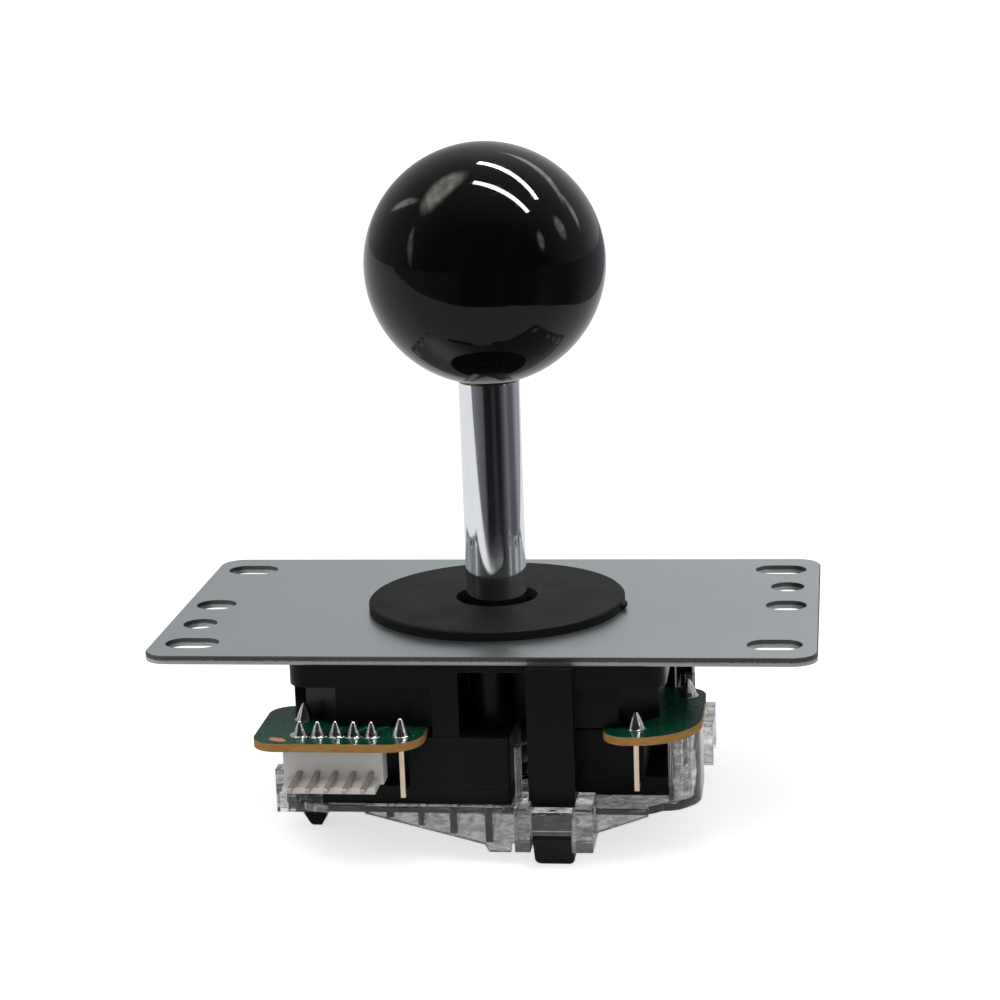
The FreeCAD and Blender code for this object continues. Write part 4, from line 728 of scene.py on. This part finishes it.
zinc, zinc_tree, zinc_shader = new_finish("plate_zinc_satin", metallic=0.92)
zinc_clouds = grain(zinc_tree, 14 * MM, (0.5, 1.0, 1.0), detail=5.0)
zinc_rolled = grain(zinc_tree, 0.35 * MM, (0.03, 1.0, 1.0), detail=3.0, shift=4.0)
zinc_specks = grain(zinc_tree, 0.30 * MM, detail=2.0, shift=9.0)
zinc_skin = blend_colours(zinc_tree, zinc_clouds, (0.385, 0.428, 0.448), (0.455, 0.500, 0.518))
zinc_skin = blend_colours(zinc_tree, scaled(zinc_tree, zinc_specks, 0.55, 0.75, 0.0, 0.35), zinc_skin,
                          (0.58, 0.61, 0.63))
zinc_facing = step(zinc_tree, "ShaderNodeNewGeometry", {}).outputs["Normal"]
zinc_upright = step(zinc_tree, "ShaderNodeSeparateXYZ", {"Vector": zinc_facing}).outputs["Z"]
zinc_upright = step(zinc_tree, "ShaderNodeMath", {0: zinc_upright}, operation="ABSOLUTE").outputs[0]
zinc_is_edge = scaled(zinc_tree, zinc_upright, 0.93, 0.99, 1.0, 0.0)
zinc_place = step(zinc_tree, "ShaderNodeTexCoord", {}).outputs["Object"]
zinc_depth = step(zinc_tree, "ShaderNodeSeparateXYZ", {"Vector": zinc_place}).outputs["Z"]
zinc_ragged = combined(zinc_tree, "MULTIPLY", zinc_specks, 0.30 * MM)
# The cut edge's colour is pale lower down and dark higher up and over the rounded rim. That dark is painted shade.
zinc_torn_band_and_shade = scaled(zinc_tree, combined(zinc_tree, "SUBTRACT", zinc_depth, zinc_ragged), -0.92 * MM, -0.70 * MM,
                  1.0, 0.0)
zinc_edge_and_painted_shade = blend_colours(zinc_tree, zinc_torn_band_and_shade, (0.115, 0.112, 0.112), (0.52, 0.54, 0.545))
zinc_skin = blend_colours(zinc_tree, zinc_is_edge, zinc_skin, zinc_edge_and_painted_shade)
zinc_rough = combined(zinc_tree, "ADD", scaled(zinc_tree, zinc_clouds, 0.3, 0.7, 0.30, 0.40),
                      scaled(zinc_tree, zinc_rolled, 0.3, 0.7, -0.03, 0.03))
zinc_rough = combined(zinc_tree, "ADD", zinc_rough, scaled(zinc_tree, zinc_is_edge, 0.0, 1.0, 0.0, 0.22))
finish_with(zinc_tree, zinc_shader, zinc_skin, zinc_rough,
            relief(zinc_tree, zinc_rolled, 0.0015 * MM, eased_edges(zinc_tree, 0.04 * MM)))
give(zinc, "mounting_plate")

screw_zinc = drawn_steel("screw_zinc", (0.50, 0.52, 0.54), (0.66, 0.68, 0.70), 0.30, 0.10 * MM)
give(screw_zinc, "plate_screws")


# Dust washer
# A black acetal disc lies loose on the plate round the shaft and keeps dust out. It is stamped from sheet, so its
# faces are matt, its rim is cut, and a nub of flash stands out where it left its strip.
washer, washer_tree, washer_shader = new_finish("washer_black_matt", Specular_IOR_Level=0.07)
washer_clouds = grain(washer_tree, 8 * MM, detail=5.0)
washer_fine = grain(washer_tree, 0.14 * MM, detail=2.0, shift=2.0)
washer_dust = grain(washer_tree, 0.45 * MM, detail=1.0, shift=8.0)
washer_skin = blend_colours(washer_tree, washer_clouds, (0.0080, 0.0082, 0.0092), (0.0125, 0.0128, 0.0140))
washer_skin = blend_colours(washer_tree, scaled(washer_tree, washer_dust, 0.74, 0.80, 0.0, 0.5), washer_skin,
                            (0.10, 0.10, 0.10))
washer_skin = blend_colours(washer_tree, rubbed(washer_tree, 0.25 * MM, 0.3), washer_skin, (0.04, 0.04, 0.042))
finish_with(washer_tree, washer_shader, washer_skin, scaled(washer_tree, washer_clouds, 0.3, 0.7, 0.50, 0.64),
            relief(washer_tree, washer_fine, 0.008 * MM, eased_edges(washer_tree, 0.18 * MM)))
give(washer, "dust_washer")

WASHER_RADIUS = 19.0 * MM
NUB_TURN = math.radians(-6.0)
NUB_RADIUS = 0.75 * MM
NUB_STRETCH = Vector((0.9, 1.5, 0.8))
NUB_RAGGED = 0.22
NUB_PLACE = (WASHER_RADIUS + 0.05 * MM, 0.0, 0.70 * MM)
nub_shape = bmesh.new()
bmesh.ops.create_icosphere(nub_shape, subdivisions=3, radius=NUB_RADIUS)
for corner in nub_shape.verts:
    swell = 1.0 + NUB_RAGGED * noise.noise(corner.co * 1900.0)
    corner.co = corner.co * NUB_STRETCH * swell
bmesh.ops.translate(nub_shape, verts=nub_shape.verts, vec=NUB_PLACE)
bmesh.ops.rotate(nub_shape, verts=nub_shape.verts, cent=(0, 0, 0), matrix=Matrix.Rotation(NUB_TURN, 3, "Z"))
nub_mesh = bpy.data.meshes.new("washer_flash_nub")
nub_shape.to_mesh(nub_mesh)
nub_shape.free()
for face in nub_mesh.polygons:
    face.use_smooth = True
nub = bpy.data.objects.new("washer_flash_nub", nub_mesh)
bpy.context.scene.collection.objects.link(nub)
nub_mesh.materials.append(washer)
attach(nub, "base")


# Ball top
# The ball is moulded black resin, polished and hard, round a knurled brass insert that screws on the shaft's end.
# A faint line from the mould runs round its middle, and hands have left hairline marks in the gloss.
gloss, gloss_tree, gloss_shader = new_finish("ball_black_gloss", Specular_IOR_Level=0.19)
gloss_marks = grain(gloss_tree, 0.5 * MM, (0.06, 1.0, 0.7), detail=4.0, shift=2.0)
gloss_clouds = grain(gloss_tree, 9 * MM, detail=3.0)
gloss_wobble = grain(gloss_tree, 5 * MM, detail=1.0, shift=6.0)
gloss_place = step(gloss_tree, "ShaderNodeTexCoord", {}).outputs["Object"]
gloss_height = step(gloss_tree, "ShaderNodeSeparateXYZ", {"Vector": gloss_place}).outputs["Z"]
gloss_off = combined(gloss_tree, "SUBTRACT", gloss_height, BALL_HEIGHT)
gloss_off = step(gloss_tree, "ShaderNodeMath", {0: gloss_off}, operation="ABSOLUTE").outputs[0]
gloss_seam = scaled(gloss_tree, gloss_off, 0.0, 0.16 * MM, 1.0, 0.0)
gloss_skin = blend_colours(gloss_tree, gloss_clouds, (0.0022, 0.0022, 0.0023), (0.0045, 0.0045, 0.0047))
gloss_rough = combined(gloss_tree, "ADD", scaled(gloss_tree, gloss_marks, 0.5, 0.8, 0.03, 0.10),
                       scaled(gloss_tree, gloss_seam, 0.0, 1.0, 0.0, 0.05))
gloss_normal = relief(gloss_tree, gloss_wobble, 0.012 * MM, eased_edges(gloss_tree, 0.12 * MM))
gloss_normal = relief(gloss_tree, gloss_seam, 0.002 * MM, gloss_normal)
finish_with(gloss_tree, gloss_shader, gloss_skin, gloss_rough, gloss_normal)
give(gloss, "ball_top")

brass, brass_tree, brass_shader = new_finish("insert_brass", metallic=1.0)
brass_clouds = grain(brass_tree, 1.5 * MM, detail=5.0)
brass_lines = grain(brass_tree, 0.12 * MM, (0.05, 0.05, 1.0), shift=3.0)
brass_skin = blend_colours(brass_tree, brass_clouds, (0.11, 0.085, 0.05), (0.22, 0.175, 0.11))
finish_with(brass_tree, brass_shader, brass_skin, scaled(brass_tree, brass_lines, 0.3, 0.7, 0.20, 0.38),
            relief(brass_tree, brass_lines, 0.005 * MM, eased_edges(brass_tree, 0.1 * MM)))
give(brass, "ball_insert")
